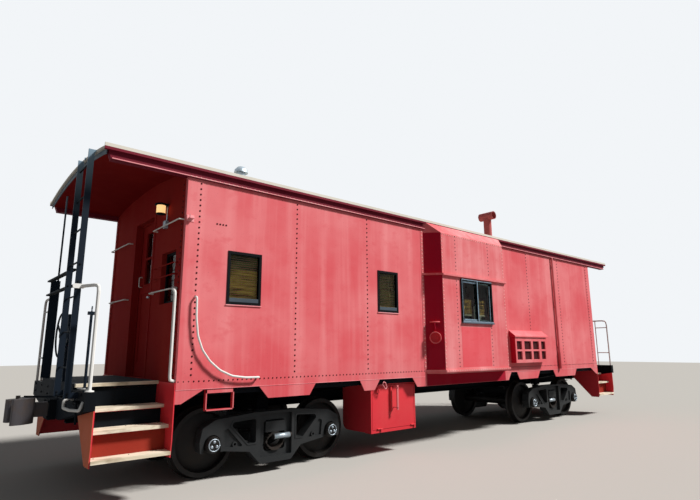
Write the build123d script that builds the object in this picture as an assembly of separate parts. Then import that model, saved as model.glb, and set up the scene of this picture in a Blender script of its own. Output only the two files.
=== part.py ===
from build123d import *
from math import hypot
import os

# Bay-window caboose. Millimetres, +Z up, +X towards the far end of the car.
# Z is 0 at the wheel flange tips, so the rail head is at RAIL.
# The car repeats by a half turn about Z, so most pieces are drawn at the near end or on the
# left side, and both_ends adds the turned copy.

# Heights
RAIL = 25
AXLE_Z = RAIL + 419
CENTRE_PLATE_Z = 700
COUPLER_Z = RAIL + 876
GUSSET_Z = 985
SILL_Z = 1138
FRAME_TOP = 1165
FLOOR_TOP = 1225
SIDE_TOP = 3640
ROOF_EDGE_Z = 3774
ROOF_CROWN_Z = 3905

# Lengths and widths, measured from the middle of the car
BODY_X = 5258
BODY_Y = 1420
WALL = 70
END_WALL = 140
INNER_Y = BODY_Y - WALL
INNER_X = BODY_X - END_WALL
END_SILL_X = 6070
END_FACE_X = 6170
DECK_Y = 880
CENTRE_SILL_Y = 165

# Roof sheet and the trim round it
ROOF_X = 6226
ROOF_Y = 1452
ROOF_T = 30
ROOF_RISE = ROOF_CROWN_Z - ROOF_EDGE_Z
ROOF_RADIUS = (ROOF_Y**2 + ROOF_RISE**2) / (2 * ROOF_RISE)
FASCIA_X = 6190
FASCIA_DROP = 85

# Doorway at each end, and the clearance round a moving leaf
DOOR_HALF = 360
DOOR_TOP = 3360
GAP = 6

# Trucks and wheels
TRUCK_X = 3700
WHEELBASE = 1830
TREAD_R = 419
FLANGE_R = 444
AXLE_R = 84
WHEEL_INNER_Y = 675
WHEEL_OUTER_Y = 820
FRAME_Y = 1000
FRAME_HALF = 75


# Drawing helpers
def block(x0, x1, y0, y1, z0, z1):
    centre = Pos((x0 + x1) / 2, (y0 + y1) / 2, (z0 + z1) / 2)
    return centre * Box(abs(x1 - x0), abs(y1 - y0), abs(z1 - z0))


def outline(plane, *points):
    return plane * make_face(Polyline(*points, close=True))


def side_plate(points, y0, y1):
    return extrude(outline(Plane.XZ.offset(-y1), *points), amount=y1 - y0)


def end_plate(points, x0, x1):
    return extrude(outline(Plane.YZ.offset(x0), *points), amount=x1 - x0)


def floor_plate(points, z0, z1):
    return extrude(outline(Plane.XY.offset(z0), *points), amount=z1 - z0)


def rounded_side_plate(points, radius, y0, y1):
    face = Plane.XZ.offset(-y1) * make_face(FilletPolyline(*points, radius=radius, close=True))
    return extrude(face, amount=y1 - y0)


def upright(x, y, z0, z1, r):
    return Pos(x, y, (z0 + z1) / 2) * Cylinder(r, z1 - z0)


def along_x(x0, x1, y, z, r):
    return Pos((x0 + x1) / 2, y, z) * Rot(0, 90, 0) * Cylinder(r, abs(x1 - x0))


def along_y(x, y0, y1, z, r):
    return Pos(x, (y0 + y1) / 2, z) * Rot(90, 0, 0) * Cylinder(r, abs(y1 - y0))


# Eight-sided rod along a path, each corner turned in three short runs that start bend away from it
def rod(points, r, bend):
    line = [Vector(*points[0])]
    for before, corner, after in zip(points, points[1:], points[2:]):
        corner = Vector(*corner)
        back = (Vector(*before) - corner).normalized() * bend
        ahead = (Vector(*after) - corner).normalized() * bend
        line += [corner + back, corner + back * 0.35 + ahead * 0.12, corner + back * 0.12 + ahead * 0.35, corner + ahead]
    path = Polyline(*line, Vector(*points[-1]))
    section = Plane(origin=path @ 0, z_dir=path % 0) * RegularPolygon(r, 8)
    return sweep(section, path=path, transition=Transition.RIGHT)


def join(shapes):
    whole = shapes[0]
    for shape in shapes[1:]:
        whole = whole + shape
    return whole


def group(*shapes):
    return Compound(children=[solid for shape in shapes for solid in shape.solids()])


def turned(shape):
    return Rot(0, 0, 180) * shape


def both_ends(*shapes):
    return group(*shapes, *[turned(shape) for shape in shapes])


def mirrored_x(shape):
    return mirror(shape, about=Plane.YZ)


def mirrored_y(shape):
    return mirror(shape, about=Plane.XZ)


def both_sides(*shapes):
    return group(*shapes, *[mirrored_y(shape) for shape in shapes])


def write(name, shape):
    export_step(shape, "parts/" + name + ".step")


# Centre sill: a hat section, open below, with a centre filler and plate over each truck
def centre_sill():
    web, flange, low = 16, 235, 740
    y = CENTRE_SILL_Y
    hat = [
        (-flange, low),
        (-flange, low + web),
        (-y, low + web),
        (-y, FRAME_TOP),
        (y, FRAME_TOP),
        (y, low + web),
        (flange, low + web),
        (flange, low),
        (y - web, low),
        (y - web, FRAME_TOP - web),
        (web - y, FRAME_TOP - web),
        (web - y, low),
    ]
    pieces = [end_plate(hat, -END_SILL_X, END_SILL_X)]
    for x in (-TRUCK_X, TRUCK_X):
        pieces.append(block(x - 180, x + 180, web - y, y - web, low, low + 160))
        pieces.append(upright(x, 0, CENTRE_PLATE_Z, low + 20, 150))
    return join(pieces)


# Bolster arms over the trucks and cross bearers, tapering out to the side sills
BEARERS = [  # x, half thickness, depth at the centre sill, depth at the side sill
    (-TRUCK_X, 150, 315, 145),
    (-2480, 25, 240, 105),
    (-900, 25, 240, 105),
    (900, 25, 240, 105),
    (2480, 25, 240, 105),
    (TRUCK_X, 150, 315, 145),
]
SIDE_SILL_Y = 1290
SIDE_BEARING_Y = 635


def cross_members():
    arms = []
    for x, half, deep, shallow in BEARERS:
        points = [
            (CENTRE_SILL_Y, FRAME_TOP),
            (CENTRE_SILL_Y, FRAME_TOP - deep),
            (420, FRAME_TOP - deep),
            (SIDE_SILL_Y, FRAME_TOP - shallow),
            (SIDE_SILL_Y, FRAME_TOP),
        ]
        arm = end_plate(points, x - half, x + half)
        if abs(x) == TRUCK_X:
            arm = arm + block(x - 90, x + 90, SIDE_BEARING_Y - 60, SIDE_BEARING_Y + 60, 770, 960)
        arms.append(arm)
    return both_sides(*arms)


# Side sill channels, open inwards
def side_sills():
    web, low = 12, FRAME_TOP - 105
    channel = [
        (-INNER_Y, low),
        (-SIDE_SILL_Y, low),
        (-SIDE_SILL_Y, low + web),
        (web - INNER_Y, low + web),
        (web - INNER_Y, FRAME_TOP - web),
        (-SIDE_SILL_Y, FRAME_TOP - web),
        (-SIDE_SILL_Y, FRAME_TOP),
        (-INNER_Y, FRAME_TOP),
    ]
    return both_sides(end_plate(channel, -BODY_X, BODY_X))


# End sill: a deep pressed channel open to the car, with the striker round the coupler shank
def end_sill():
    points = [(-BODY_Y, FRAME_TOP), (-BODY_Y, 979), (-300, 795), (300, 795), (BODY_Y, 979), (BODY_Y, FRAME_TOP)]
    plate = 14
    solid = end_plate(points, -END_FACE_X, -END_SILL_X)
    hollow_face = offset(outline(Plane.YZ.offset(-END_FACE_X + plate), *points), amount=-plate)
    sill = solid - extrude(hollow_face, amount=END_FACE_X - END_SILL_X)
    striker = block(-6245, -END_FACE_X, -150, 150, COUPLER_Z - 116, COUPLER_Z + 116)
    shank_hole = block(-6250, -END_SILL_X, -95, 95, COUPLER_Z - 80, COUPLER_Z + 90)
    return sill + striker - shank_hole


# Coupler: shank, head with its guard arm, and the knuckle between the head's lugs
def coupler():
    shank = block(-6390, -6085, -65, 65, COUPLER_Z - 80, COUPLER_Z + 80)
    head_points = [
        (-6380, -80),
        (-6410, -150),
        (-6520, -215),
        (-6618, -222),
        (-6628, -190),
        (-6545, -95),
        (-6515, 0),
        (-6530, 110),
        (-6470, 160),
        (-6380, 95),
    ]
    knuckle_points = [
        (-6500, 60),
        (-6510, 165),
        (-6585, 165),
        (-6650, 115),
        (-6658, 35),
        (-6632, -25),
        (-6594, -25),
        (-6590, 45),
    ]
    head_face = make_face(FilletPolyline(*head_points, radius=12, close=True))
    knuckle_face = make_face(FilletPolyline(*knuckle_points, radius=16, close=True))
    head = extrude(Plane.XY.offset(COUPLER_Z - 140) * head_face, amount=280)
    knuckle = extrude(Plane.XY.offset(COUPLER_Z - 125) * knuckle_face, amount=250)
    pin = upright(-6530, 112, COUPLER_Z - 160, COUPLER_Z + 160, 24)
    return join([shank, head, knuckle, pin])


def floor():
    return block(-INNER_X, INNER_X, -INNER_Y, INNER_Y, FRAME_TOP, FLOOR_TOP)


# Side wall: flat panel with its window openings and bay opening, and the gussets under it
WINDOWS = [  # x0, x1, z0, z1
    (-4690, -4210, 2130, 2800),
    (-2120, -1670, 2150, 2806),
]
GUSSETS = [  # x at the sill, x at the foot, x at the foot, x at the sill
    (-5258, -5258, -5188, -4912),
    (-4192, -4053, -3411, -3306),
    (-2503, -2415, -2209, -2098),
    (-1374, -1260, 1380, 1490),
    (1690, 1783, 2470, 2580),
    (3130, 3229, 4098, 4200),
    (4912, 5188, 5258, 5258),
]
GUSSET_T = 12


def side_wall():
    wall = block(-BODY_X, BODY_X, -BODY_Y, -INNER_Y, SILL_Z, SIDE_TOP)
    for x0, x1, z0, z1 in WINDOWS:
        wall = wall - block(x0, x1, -BODY_Y - 5, 5 - INNER_Y, z0, z1)
    wall = wall - block(BAY_DOOR_X[0], BAY_DOOR_X[1], -BODY_Y - 5, 5 - INNER_Y, FLOOR_TOP, BAY_ROOM_TOP)
    for top0, low0, low1, top1 in GUSSETS:
        points = [(top0, SILL_Z), (low0, GUSSET_Z), (low1, GUSSET_Z), (top1, SILL_Z)]
        wall = wall + side_plate(points, -BODY_Y, GUSSET_T - BODY_Y)
    return wall


# Window frames and panes: two in the side, one in the end wall, a sliding pair in the bay
FRAME_BAR = 35
PANE_T = 6


def side_frame(x0, x1, z0, z1, y0, y1):
    bar = FRAME_BAR
    return block(x0, x1, y0, y1, z0, z1) - block(x0 + bar, x1 - bar, y0 - 5, y1 + 5, z0 + bar, z1 - bar)


def side_pane(x0, x1, z0, z1, y):
    bar = FRAME_BAR
    return block(x0 + bar, x1 - bar, y, y + PANE_T, z0 + bar, z1 - bar)


def window_frames():
    frames = [side_frame(*window, -BODY_Y - 10, 40 - BODY_Y) for window in WINDOWS]
    y0, y1, z0, z1 = END_WINDOW
    ring = block(60 - BODY_X, 90 - BODY_X, y0, y1, z0, z1)
    hole = block(55 - BODY_X, 95 - BODY_X, y0 + FRAME_BAR, y1 - FRAME_BAR, z0 + FRAME_BAR, z1 - FRAME_BAR)
    return group(*frames, ring - hole)


def bay_window_frame():
    x0, x1, z0, z1 = BAY_WINDOW
    front, back = -BAY_FRONT_Y - 28, 40 - BAY_FRONT_Y
    half = FRAME_BAR / 2
    mullion = block(BAY_MULLION - half, BAY_MULLION + half, front, back, z0 + FRAME_BAR, z1 - FRAME_BAR)
    return side_frame(*BAY_WINDOW, front, back) + mullion


def window_panes():
    panes = [side_pane(*window, 12 - BODY_Y) for window in WINDOWS]
    y0, y1, z0, z1 = END_WINDOW
    end_x = 72 - BODY_X
    panes.append(block(end_x, end_x + PANE_T, y0 + FRAME_BAR, y1 - FRAME_BAR, z0 + FRAME_BAR, z1 - FRAME_BAR))
    x0, x1, z0, z1 = BAY_WINDOW
    half = FRAME_BAR / 2
    for left, right in ((x0, BAY_MULLION + half), (BAY_MULLION - half, x1)):
        panes.append(side_pane(left, right, z0, z1, 2 - BAY_FRONT_Y))
    return group(*panes)


# Arched roof sheet, its edge strips, end fascias and the ceilings over the platforms
def roof_height(y, drop):
    return ROOF_CROWN_Z - drop - (ROOF_RADIUS - (ROOF_RADIUS**2 - y**2) ** 0.5)


def roof_arc(drop, half):
    height = roof_height(half, drop)
    return (-half, height), (0, ROOF_CROWN_Z - drop), (half, height)


def arch_band(x0, x1, top, bottom, half):
    upper = roof_arc(top, half)
    lower = roof_arc(bottom, half)
    sides = Line(upper[2], lower[2]) + Line(lower[0], upper[0])
    edge = ThreePointArc(*upper) + ThreePointArc(*lower) + sides
    return extrude(Plane.YZ.offset(x0) * make_face(edge), amount=x1 - x0)


def arch_infill(x0, x1, z0, drop, half):
    upper = roof_arc(drop, half)
    edge = ThreePointArc(*upper) + Polyline(upper[2], (half, z0), (-half, z0), upper[0])
    return extrude(Plane.YZ.offset(x0) * make_face(edge), amount=x1 - x0)


def roof():
    return arch_band(-ROOF_X, ROOF_X, 0, ROOF_T, ROOF_Y)


def roof_edge():
    return block(-ROOF_X, ROOF_X, -ROOF_Y - 14, -ROOF_Y, ROOF_EDGE_Z - 12, ROOF_EDGE_Z + 38)


def roof_end_arch():
    return arch_band(-FASCIA_X - 10, -FASCIA_X, ROOF_T, FASCIA_DROP, 1430)


def porch_ceiling():
    return arch_band(-FASCIA_X, -BODY_X, FASCIA_DROP - 12, FASCIA_DROP, INNER_Y)


# Eave band on top of the side wall, with a ledge at its foot and slanted ends
BAND_Y = 1430
LEDGE_Y = 1454
LEDGE_Z = (SIDE_TOP + 3, SIDE_TOP + 17)


def eave_band():
    foot, top = 6139, FASCIA_X
    side = [(-foot, SIDE_TOP), (foot, SIDE_TOP), (top, ROOF_EDGE_Z), (-top, ROOF_EDGE_Z)]
    band = side_plate(side, -BAND_Y, -INNER_Y)
    ledge = block(-foot, foot, -LEDGE_Y, -BAND_Y, *LEDGE_Z)
    return band + ledge - roof()


# End wall between the side walls, up to the roof, with a rebated doorway and one window
END_WINDOW = (-1181, -726, 2142, 2788)  # y0, y1, z0, z1
LEAF_T = 45
LEAF_X = (-INNER_X - LEAF_T - 2, -INNER_X - 2)
LEAF_EDGE = GAP - DOOR_HALF
HINGE_X = -INNER_X + 16
HINGE_Y = LEAF_EDGE
HINGE_R = 8
HINGE_Z = (1450, 2290, 3130)
KNUCKLE = 90


def end_wall():
    wall = arch_infill(-BODY_X, -INNER_X, FRAME_TOP, ROOF_T, INNER_Y)
    wall = wall - block(-BODY_X - 5, 5 - INNER_X, -DOOR_HALF, DOOR_HALF, FLOOR_TOP, DOOR_TOP)
    y0, y1, z0, z1 = END_WINDOW
    wall = wall - block(-BODY_X - 5, 5 - INNER_X, y0, y1, z0, z1)
    stop_x = LEAF_X[0] - GAP
    stop = block(stop_x - 12, stop_x, -DOOR_HALF, DOOR_HALF, FLOOR_TOP, DOOR_TOP)
    stop = stop - block(stop_x - 15, stop_x + 5, 20 - DOOR_HALF, DOOR_HALF - 20, FLOOR_TOP - 5, DOOR_TOP - 20)
    return join([wall, stop, *[door_knuckle(z + KNUCKLE + GAP, 30, -1) for z in HINGE_Z]])


# One barrel of a door hinge, its web and its strap: side is 1 on the leaf and -1 on the wall
def door_knuckle(z, length, side):
    face, edge = (LEAF_X[1], HINGE_Y) if side > 0 else (-INNER_X, -DOOR_HALF)
    barrel = upright(HINGE_X, HINGE_Y, z, z + length, HINGE_R)
    web = block(face, HINGE_X, HINGE_Y, HINGE_Y + side * 8, z, z + length)
    strap = block(face, face + 6, edge, edge + side * 60, z, z + length)
    return barrel + web + strap


# Bay: splayed ends, flat front, sloping hood, drip moulding and base moulding
BAY_X = (-1023, 1275)
BAY_RUN = 215
BAY_DEPTH = 230
BAY_FRONT_Y = BODY_Y + BAY_DEPTH
BAY_BOTTOM = 1181
BAY_TOP = 3575
BAY_WALL = 60
BAY_ROOM_TOP = 3530
BAY_DOOR_X = (BAY_X[0] + 90, BAY_X[1] - 90)
BAY_WINDOW = (-320, 600, 2040, 2806)  # x0, x1, z0, z1
BAY_MULLION = 140
MOULDINGS = [  # z0, z1, how far it stands out
    (1206, 1244, 26),
    (2828, 2860, 42),
]


def bay_plan(inset):
    slant = hypot(BAY_DEPTH, BAY_RUN)
    at_wall = inset * slant / BAY_DEPTH
    at_front = inset * (slant - BAY_RUN) / BAY_DEPTH
    return [
        (BAY_X[0] + at_wall, -BODY_Y),
        (BAY_X[0] + BAY_RUN + at_front, inset - BAY_FRONT_Y),
        (BAY_X[1] - BAY_RUN - at_front, inset - BAY_FRONT_Y),
        (BAY_X[1] - at_wall, -BODY_Y),
    ]


def bay_hood():
    eave, top = 1464, ROOF_EDGE_Z - 12
    slope = (eave - BODY_Y) / BAY_DEPTH * BAY_RUN
    top_points = [
        (BAY_X[0], -BODY_Y),
        (BAY_X[0] + slope, -eave),
        (BAY_X[1] - slope, -eave),
        (BAY_X[1], -BODY_Y),
    ]
    low_face = outline(Plane.XY.offset(BAY_TOP), *bay_plan(0))
    top_face = outline(Plane.XY.offset(top), *top_points)
    return loft([low_face, top_face]) - eave_band() - roof()


def bay():
    shell = floor_plate(bay_plan(0), BAY_BOTTOM, BAY_TOP)
    room = floor_plate(bay_plan(BAY_WALL), FLOOR_TOP, BAY_ROOM_TOP)
    x0, x1, z0, z1 = BAY_WINDOW
    window = block(x0, x1, -BAY_FRONT_Y - 5, BAY_WALL + 5 - BAY_FRONT_Y, z0, z1)
    pieces = [shell - room - window, bay_hood()]
    for z0, z1, out in MOULDINGS:
        pieces.append(floor_plate(bay_plan(-out), z0, z1) - floor_plate(bay_plan(0), z0 - 1, z1 + 1))
    return join(pieces)


# Round marker cup, open outwards, with its hanger, on the near splay of the bay
def bay_cup():
    normal = (-BAY_DEPTH / hypot(BAY_DEPTH, BAY_RUN), -BAY_RUN / hypot(BAY_DEPTH, BAY_RUN), 0)
    seat = (BAY_X[0] + BAY_RUN / 2, -BODY_Y - BAY_DEPTH / 2)
    face = Plane(origin=(*seat, 1769), x_dir=(0, 0, 1), z_dir=normal)
    tube = extrude(face * Circle(98), amount=70) - extrude(face.offset(12) * Circle(84), amount=70)
    hanger_face = Plane(origin=(*seat, 2030), x_dir=(0, 0, 1), z_dir=normal)
    hanger = extrude(hanger_face * Rectangle(28, 170), amount=34)
    return group(tube, hanger)


# Hooded box low on the side, with four by two panes cut in its face
PANE_X = [(1560, 1745), (1840, 2095), (2165, 2400), (2490, 2655)]
PANE_Z = [(1372, 1535), (1572, 1735)]


def grille_box():
    wall, face, eave, top = BODY_Y, 1535, 1560, 1815
    box = end_plate([(-wall, top), (-face, top), (-face, 1310), (-wall, 1310)], 1510, 2700)
    hood = end_plate([(-wall, 1951), (-eave, 1838), (-eave, top), (-wall, top)], 1480, 2757)
    for x0, x1 in PANE_X:
        for z0, z1 in PANE_Z:
            box = box - block(x0, x1, -face - 5, 35 - face, z0, z1)
    return box + hood


# Round pipe down the side, sleeved at its foot and held by three clamps
def side_pipe():
    x, r, sleeve_r = 3400, 24, 33
    y = -BODY_Y - sleeve_r
    pieces = [rod([(x, y, 1150), (x, y, SIDE_TOP)], r, 0), upright(x, y, 1150, 1500, sleeve_r)]
    for z in (1620, 2520, 3420):
        pieces.append(block(x - 34, x + 34, y - 6, -BODY_Y, z, z + 30))
    return join(pieces)


# Platform deck, step wells and wooden treads
def platform():
    return block(-END_FACE_X, -BODY_X, -DECK_Y, DECK_Y, FRAME_TOP, FLOOR_TOP)


TREAD_T = 36
TREADS = [  # y outer, y inner, top, top of the riser behind
    (-1150, -886, 975, FRAME_TOP),
    (-1320, -1066, 770, 975 - TREAD_T),
    (-1425, -1236, 500, 770 - TREAD_T),
]
WELL_X = (-END_SILL_X, -5270)
WELL_T = 12


def step_well():
    foot = [(-BODY_Y, 600), (-1400, 430), (-1225, 430)]
    outer_points = [(-800, 877), (-BODY_Y, 979), *foot]
    inner_points = [(-DECK_Y, 1215), (-BODY_Y, 1215), *foot, (-800, 882), (-800, FRAME_TOP), (-DECK_Y, FRAME_TOP)]
    pieces = [
        end_plate(outer_points, WELL_X[0] - WELL_T, WELL_X[0]),
        end_plate(inner_points, WELL_X[1], WELL_X[1] + WELL_T),
    ]
    for outer, inner, top, above in TREADS:
        low = top - TREAD_T
        pieces.append(block(*WELL_X, inner, inner + 6, low - 8, above))
        pieces.append(block(*WELL_X, outer + 40, inner, low - 8, low))
    return join(pieces)


def step_treads():
    boards = [block(*WELL_X, outer, inner, top - TREAD_T, top) for outer, inner, top, above in TREADS]
    boards.append(block(10 - END_FACE_X, WELL_X[1], -DECK_Y - 50, -DECK_Y, FLOOR_TOP - TREAD_T, FLOOR_TOP))
    return group(*boards)


# Uprights across the end: ladder rails, wide post, thin stanchion, brake stand and riser pipe
LADDER_Y = (-1100, -620)
LADDER_X = (-6305, -6240)
LADDER_TOP = 3828
POST_Y = 800
BRAKE_Y = -250
BRAKE_Z = 1760


def end_uprights():
    pieces = []
    for y in LADDER_Y:
        rail = block(*LADDER_X, y - 7, y + 7, 1090, LADDER_TOP)
        foot = block(LADDER_X[1], -END_FACE_X, y - 7, y + 7, 1090, 1150)
        eave = roof_height(y, 0)
        head = block(LADDER_X[1], -ROOF_X, y - 7, y + 7, eave - ROOF_T, eave)
        pieces.append(join([rail, foot, head]))
    pieces.append(block(-6208, -6093, POST_Y, POST_Y + 14, FLOOR_TOP, 2530))
    stand = block(-6168, -6112, BRAKE_Y - 45, BRAKE_Y + 45, FLOOR_TOP, 2010)
    gear_case = along_x(-6168, -6112, BRAKE_Y, BRAKE_Z, 120)
    pieces.append(stand + gear_case)
    ceiling_z = roof_height(868, FASCIA_DROP)
    pieces.append(upright(-6112, 868, FLOOR_TOP, ceiling_z - 3, 12))
    valve = block(-6180, -6110, -1262, -1218, 1950, 1985)
    pieces.append(upright(-6145, -1240, FRAME_TOP, 1960, 14) + valve)
    return group(*pieces)


# Bars across the end: ladder rungs, two flat rails and the uncoupling lever
RUNG_R = 10
RUNG_PITCH = 380


def end_crossbars():
    middle = sum(LADDER_X) / 2
    bars = []
    for step in range(7):
        z = 1400 + step * RUNG_PITCH
        bars.append(rod([(middle, LADDER_Y[0] + 7, z), (middle, LADDER_Y[1] - 7, z)], RUNG_R, 0))
    for z in (2310, 2500):
        bars.append(block(-6252, -6196, LADDER_Y[1] + 7, POST_Y, z, z + 20))
    lever_z, lever_x = COUPLER_Z + 152, -6215
    lever_path = [(-6480, 30, lever_z), (lever_x, -230, lever_z), (lever_x, -1270, lever_z), (lever_x, -1300, 850)]
    lever = rod(lever_path, 11, 40)
    for y in (-420, -1180):
        lever = lever + block(lever_x - 15, -END_FACE_X, y - 8, y + 8, lever_z - 18, lever_z + 18)
    bars.append(lever)
    return group(*bars)


# Hand-brake wheel: dished rim, three spokes and hub on a short shaft
def brake_wheel():
    x, rim_r = -6222, 270
    face = Pos(x, BRAKE_Y, BRAKE_Z) * Rot(0, 90, 0)
    rim_section = Polyline((rim_r - 26, 0), (rim_r - 8, -11), (rim_r, 0), (rim_r - 8, 11), close=True)
    rim = face * revolve(Plane.XZ * make_face(rim_section), Axis.Z)
    hub = along_x(-6190, x - 14, BRAKE_Y, BRAKE_Z, 38)
    shaft = along_x(-6168, -6190, BRAKE_Y, BRAKE_Z, 20)
    spokes = [face * Rot(0, 0, turn) * Pos(rim_r / 2, 0, 0) * Box(rim_r - 30, 30, 12) for turn in (0, 120, 240)]
    return join([rim, hub, shaft, *spokes])


# White handrails and grab irons
GRABS = [  # y at one end, y at the other, z
    (-1370, -500, 3120),
    (-1215, -500, 2295),
    (500, 1370, 3120),
    (500, 1260, 2295),
]
STAND_X = -BODY_X - 62


def end_wall_grabs():
    bars = []
    for y0, y1, z in GRABS:
        path = [(-BODY_X, y0, z), (STAND_X, y0, z), (STAND_X, y1, z), (-BODY_X, y1, z)]
        bars.append(rod(path, 9, 28))
    return group(*bars)


def step_handrails():
    y = -1390
    head = [(-BODY_X, -1290, 2296), (STAND_X, -1290, 2296), (STAND_X, y, 2250)]
    body_rail = rod([*head, (STAND_X, y, 1240), (-BODY_X, y, 1240)], 17, 44)
    post_x = -6130
    top_pad = Plane.XZ.offset(-LADDER_Y[0] + 7) * Pos(-6262, 2262) * SlotOverall(130, 50)
    pad = extrude(top_pad, amount=14)
    path = [(-6235, LADDER_Y[0] - 14, 2262), (post_x, -1380, 2262), (post_x, -1380, FRAME_TOP)]
    near_rail = rod(path, 19, 70) + pad
    return group(body_rail, near_rail)


def corner_frame():
    x, inner, outer, top = -6150, 1080, 1370, 2300
    hoop = rod([(x, POST_Y + 14, top), (x, outer, top), (x, outer, FRAME_TOP)], 17, 110)
    inner_tube = upright(x, inner, FRAME_TOP, top, 12)
    bars = [along_y(x, inner, outer, z, 11) for z in (1480, 2120)]
    return join([hoop, inner_tube, *bars])


# Curved grab iron along the side beside the step
def side_grab():
    y = -BODY_Y - 60
    path = [
        (-5091, -BODY_Y, 2193),
        (-5091, y, 2193),
        (-5086, y, 1960),
        (-5055, y, 1740),
        (-4990, y, 1580),
        (-4890, y, 1450),
        (-4760, y, 1345),
        (-4600, y, 1275),
        (-4420, y, 1250),
        (-4225, y, 1247),
        (-4225, -BODY_Y, 1247),
    ]
    return rod(path, 13, 35)


# Step hung under the sill, and the guard bars of the end window
def sill_step():
    x0, x1, low, thick = -4890, -4530, 885, 14
    strap = block(x0, x1, -1412, -1362, low, SILL_Z)
    return strap - block(x0 + thick, x1 - thick, -1415, -1360, low + thick, SILL_Z + 5)


def window_guards():
    bars = []
    for z in (2470, 2610):
        path = [(-BODY_X, -1255, z), (-BODY_X - 45, -1255, z), (-BODY_X - 45, -560, z), (-BODY_X, -560, z)]
        bars.append(rod(path, 8, 20))
    return group(*bars)


# Porch lamp: a short glass jar under a cap on the end wall
def porch_lamp():
    x, y = -BODY_X - 95, -830
    cap = upright(x, y, 3395, 3410, 72)
    jar = upright(x, y, 3290, 3395, 55)
    arm = block(x, -BODY_X, y - 14, y + 14, 3402, 3425)
    return join([cap, jar, arm])


# Battery box hung from the left side sill: rounded at the back of its foot, collared in front
BATTERY_X = (-2180, -1200)
BATTERY_Y = (-1300, -626)
BATTERY_Z = (345, 1060)
BATTERY_COLLAR_Y = -1163
BATTERY_WALL = 18
BATTERY_HINGE = (-1314, 398)  # y, z
BATTERY_HINGE_X = (-2060, -1320)


def battery_section(inset, radius):
    front, back = BATTERY_Y
    low, top = BATTERY_Z
    corners = [(front, low + inset), (back - inset, low + inset), (back - inset, top - inset), (front, top - inset)]
    section = make_face(Polyline(*corners, close=True))
    foot = section.vertices().sort_by(Axis.X)[-2:].sort_by(Axis.Y)[0]
    return fillet(foot, radius)


def battery_box():
    x0, x1 = BATTERY_X
    front, back = BATTERY_Y
    low, top = BATTERY_Z
    side = 8 + BATTERY_WALL
    body = extrude(Plane.YZ.offset(x0 + 8) * battery_section(0, 120), amount=x1 - x0 - 16)
    collar = block(x0, x1, front, BATTERY_COLLAR_Y, low - 5, top)
    room = extrude(Plane.YZ.offset(x0 + side) * battery_section(BATTERY_WALL, 100), amount=x1 - x0 - 2 * side)
    room = room - block(x0, x1, front - 5, front + 20, low - 5, top)
    doorway = block(x0 + side, x1 - side, front - 5, front + 25, low + 40, top - 20)
    pieces = [body, collar, *[battery_knuckle(x + 60 + GAP, 30, -1) for x in BATTERY_HINGE_X]]
    for x in (-2050, -1330):
        pieces.append(block(x - 25, x + 25, -800, -740, top, FRAME_TOP))
    return join(pieces) - room - doorway


# One barrel of the drop door hinge: side is 1 on the door and -1 on the box
def battery_knuckle(x, length, side):
    y, z = BATTERY_HINGE
    barrel = along_x(x, x + length, y, z, HINGE_R)
    if side > 0:
        return barrel + block(x, x + length, y, BATTERY_Y[0], z - 4, z + 8)
    link = block(x, x + length, y - HINGE_R, y + HINGE_R, 370, z)
    return barrel + link + block(x, x + length, y, BATTERY_Y[0], 370, 385)


def battery_door():
    x0, x1 = BATTERY_X
    wall = 8 + BATTERY_WALL + GAP
    leaf = block(x0 + wall, x1 - wall, BATTERY_Y[0], BATTERY_Y[0] + 16, 391, BATTERY_Z[1] - 26)
    pieces = [leaf, *[battery_knuckle(x, 60, 1) for x in BATTERY_HINGE_X]]
    pieces.append(block(-1780, -1750, BATTERY_Y[0] - 26, BATTERY_Y[0], 640, 1000))
    pieces.append(block(-2070, -2010, BATTERY_Y[0] - 18, BATTERY_Y[0], 930, 990))
    return join(pieces)


# Air reservoir with dished ends and brake cylinder, hung from the floor on the right
def vessel(x0, x1, y, z, r, dish):
    section = [(x0 - dish, 0), (x0 - dish, 0.4 * r), (x0, r), (x1, r), (x1 + dish, 0.4 * r), (x1 + dish, 0)]
    return Pos(0, y, z) * revolve(make_face(Polyline(*section, close=True)), Axis.X)


def air_brake_gear():
    tank = vessel(-700, 300, 760, 790, 190, 60)
    cylinder = vessel(1250, 1650, 700, 850, 150, 30)
    for x in (-600, 200):
        tank = tank + block(x - 20, x + 20, 700, 820, 900, FRAME_TOP)
    return group(tank, cylinder + block(1400, 1500, 640, 760, 950, FRAME_TOP))


# Smoke stack with a tee head, and a mushroom vent, both standing on the roof
def smoke_stack():
    x, y, top = 1820, -850, 4475
    pipe = upright(x, y, ROOF_EDGE_Z - 60, top, 84)
    flashing = Pos(x, y, roof_height(y, 0) + 25) * Cone(150, 95, 70)
    head = along_y(x, y - 175, y + 175, top, 88)
    return pipe + flashing + head - along_y(x, y - 180, y + 180, top, 80) - roof_cutter()


def roof_cutter():
    return arch_infill(-ROOF_X, ROOF_X, SIDE_TOP, 0, ROOF_Y)


def roof_vent():
    x, y = -4340, -1000
    dome = [(0, 4018), (97, 4018), (88, 4062), (54, 4100), (0, 4113)]
    cap = revolve(Plane.XZ * make_face(Polyline(*dome, close=True)), Axis.Z)
    return upright(x, y, ROOF_EDGE_Z - 60, 4030, 62) + Pos(x, y, 0) * cap - roof_cutter()


# Door leaf with a tall window and a raised rail, and its glass
DOOR_LIGHT = (-160, 160, 2485, 3220)  # y0, y1, z0, z1


def door_leaf():
    leaf = block(*LEAF_X, LEAF_EDGE, -LEAF_EDGE, FLOOR_TOP + 8, DOOR_TOP - GAP)
    y0, y1, z0, z1 = DOOR_LIGHT
    leaf = leaf - block(LEAF_X[0] - 5, LEAF_X[1] + 5, y0, y1, z0, z1)
    panel = block(LEAF_X[0] - 5, LEAF_X[0] + 8, -250, 250, 1420, 2360)
    return join([leaf - panel, *[door_knuckle(z, KNUCKLE, 1) for z in HINGE_Z]])


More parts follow.
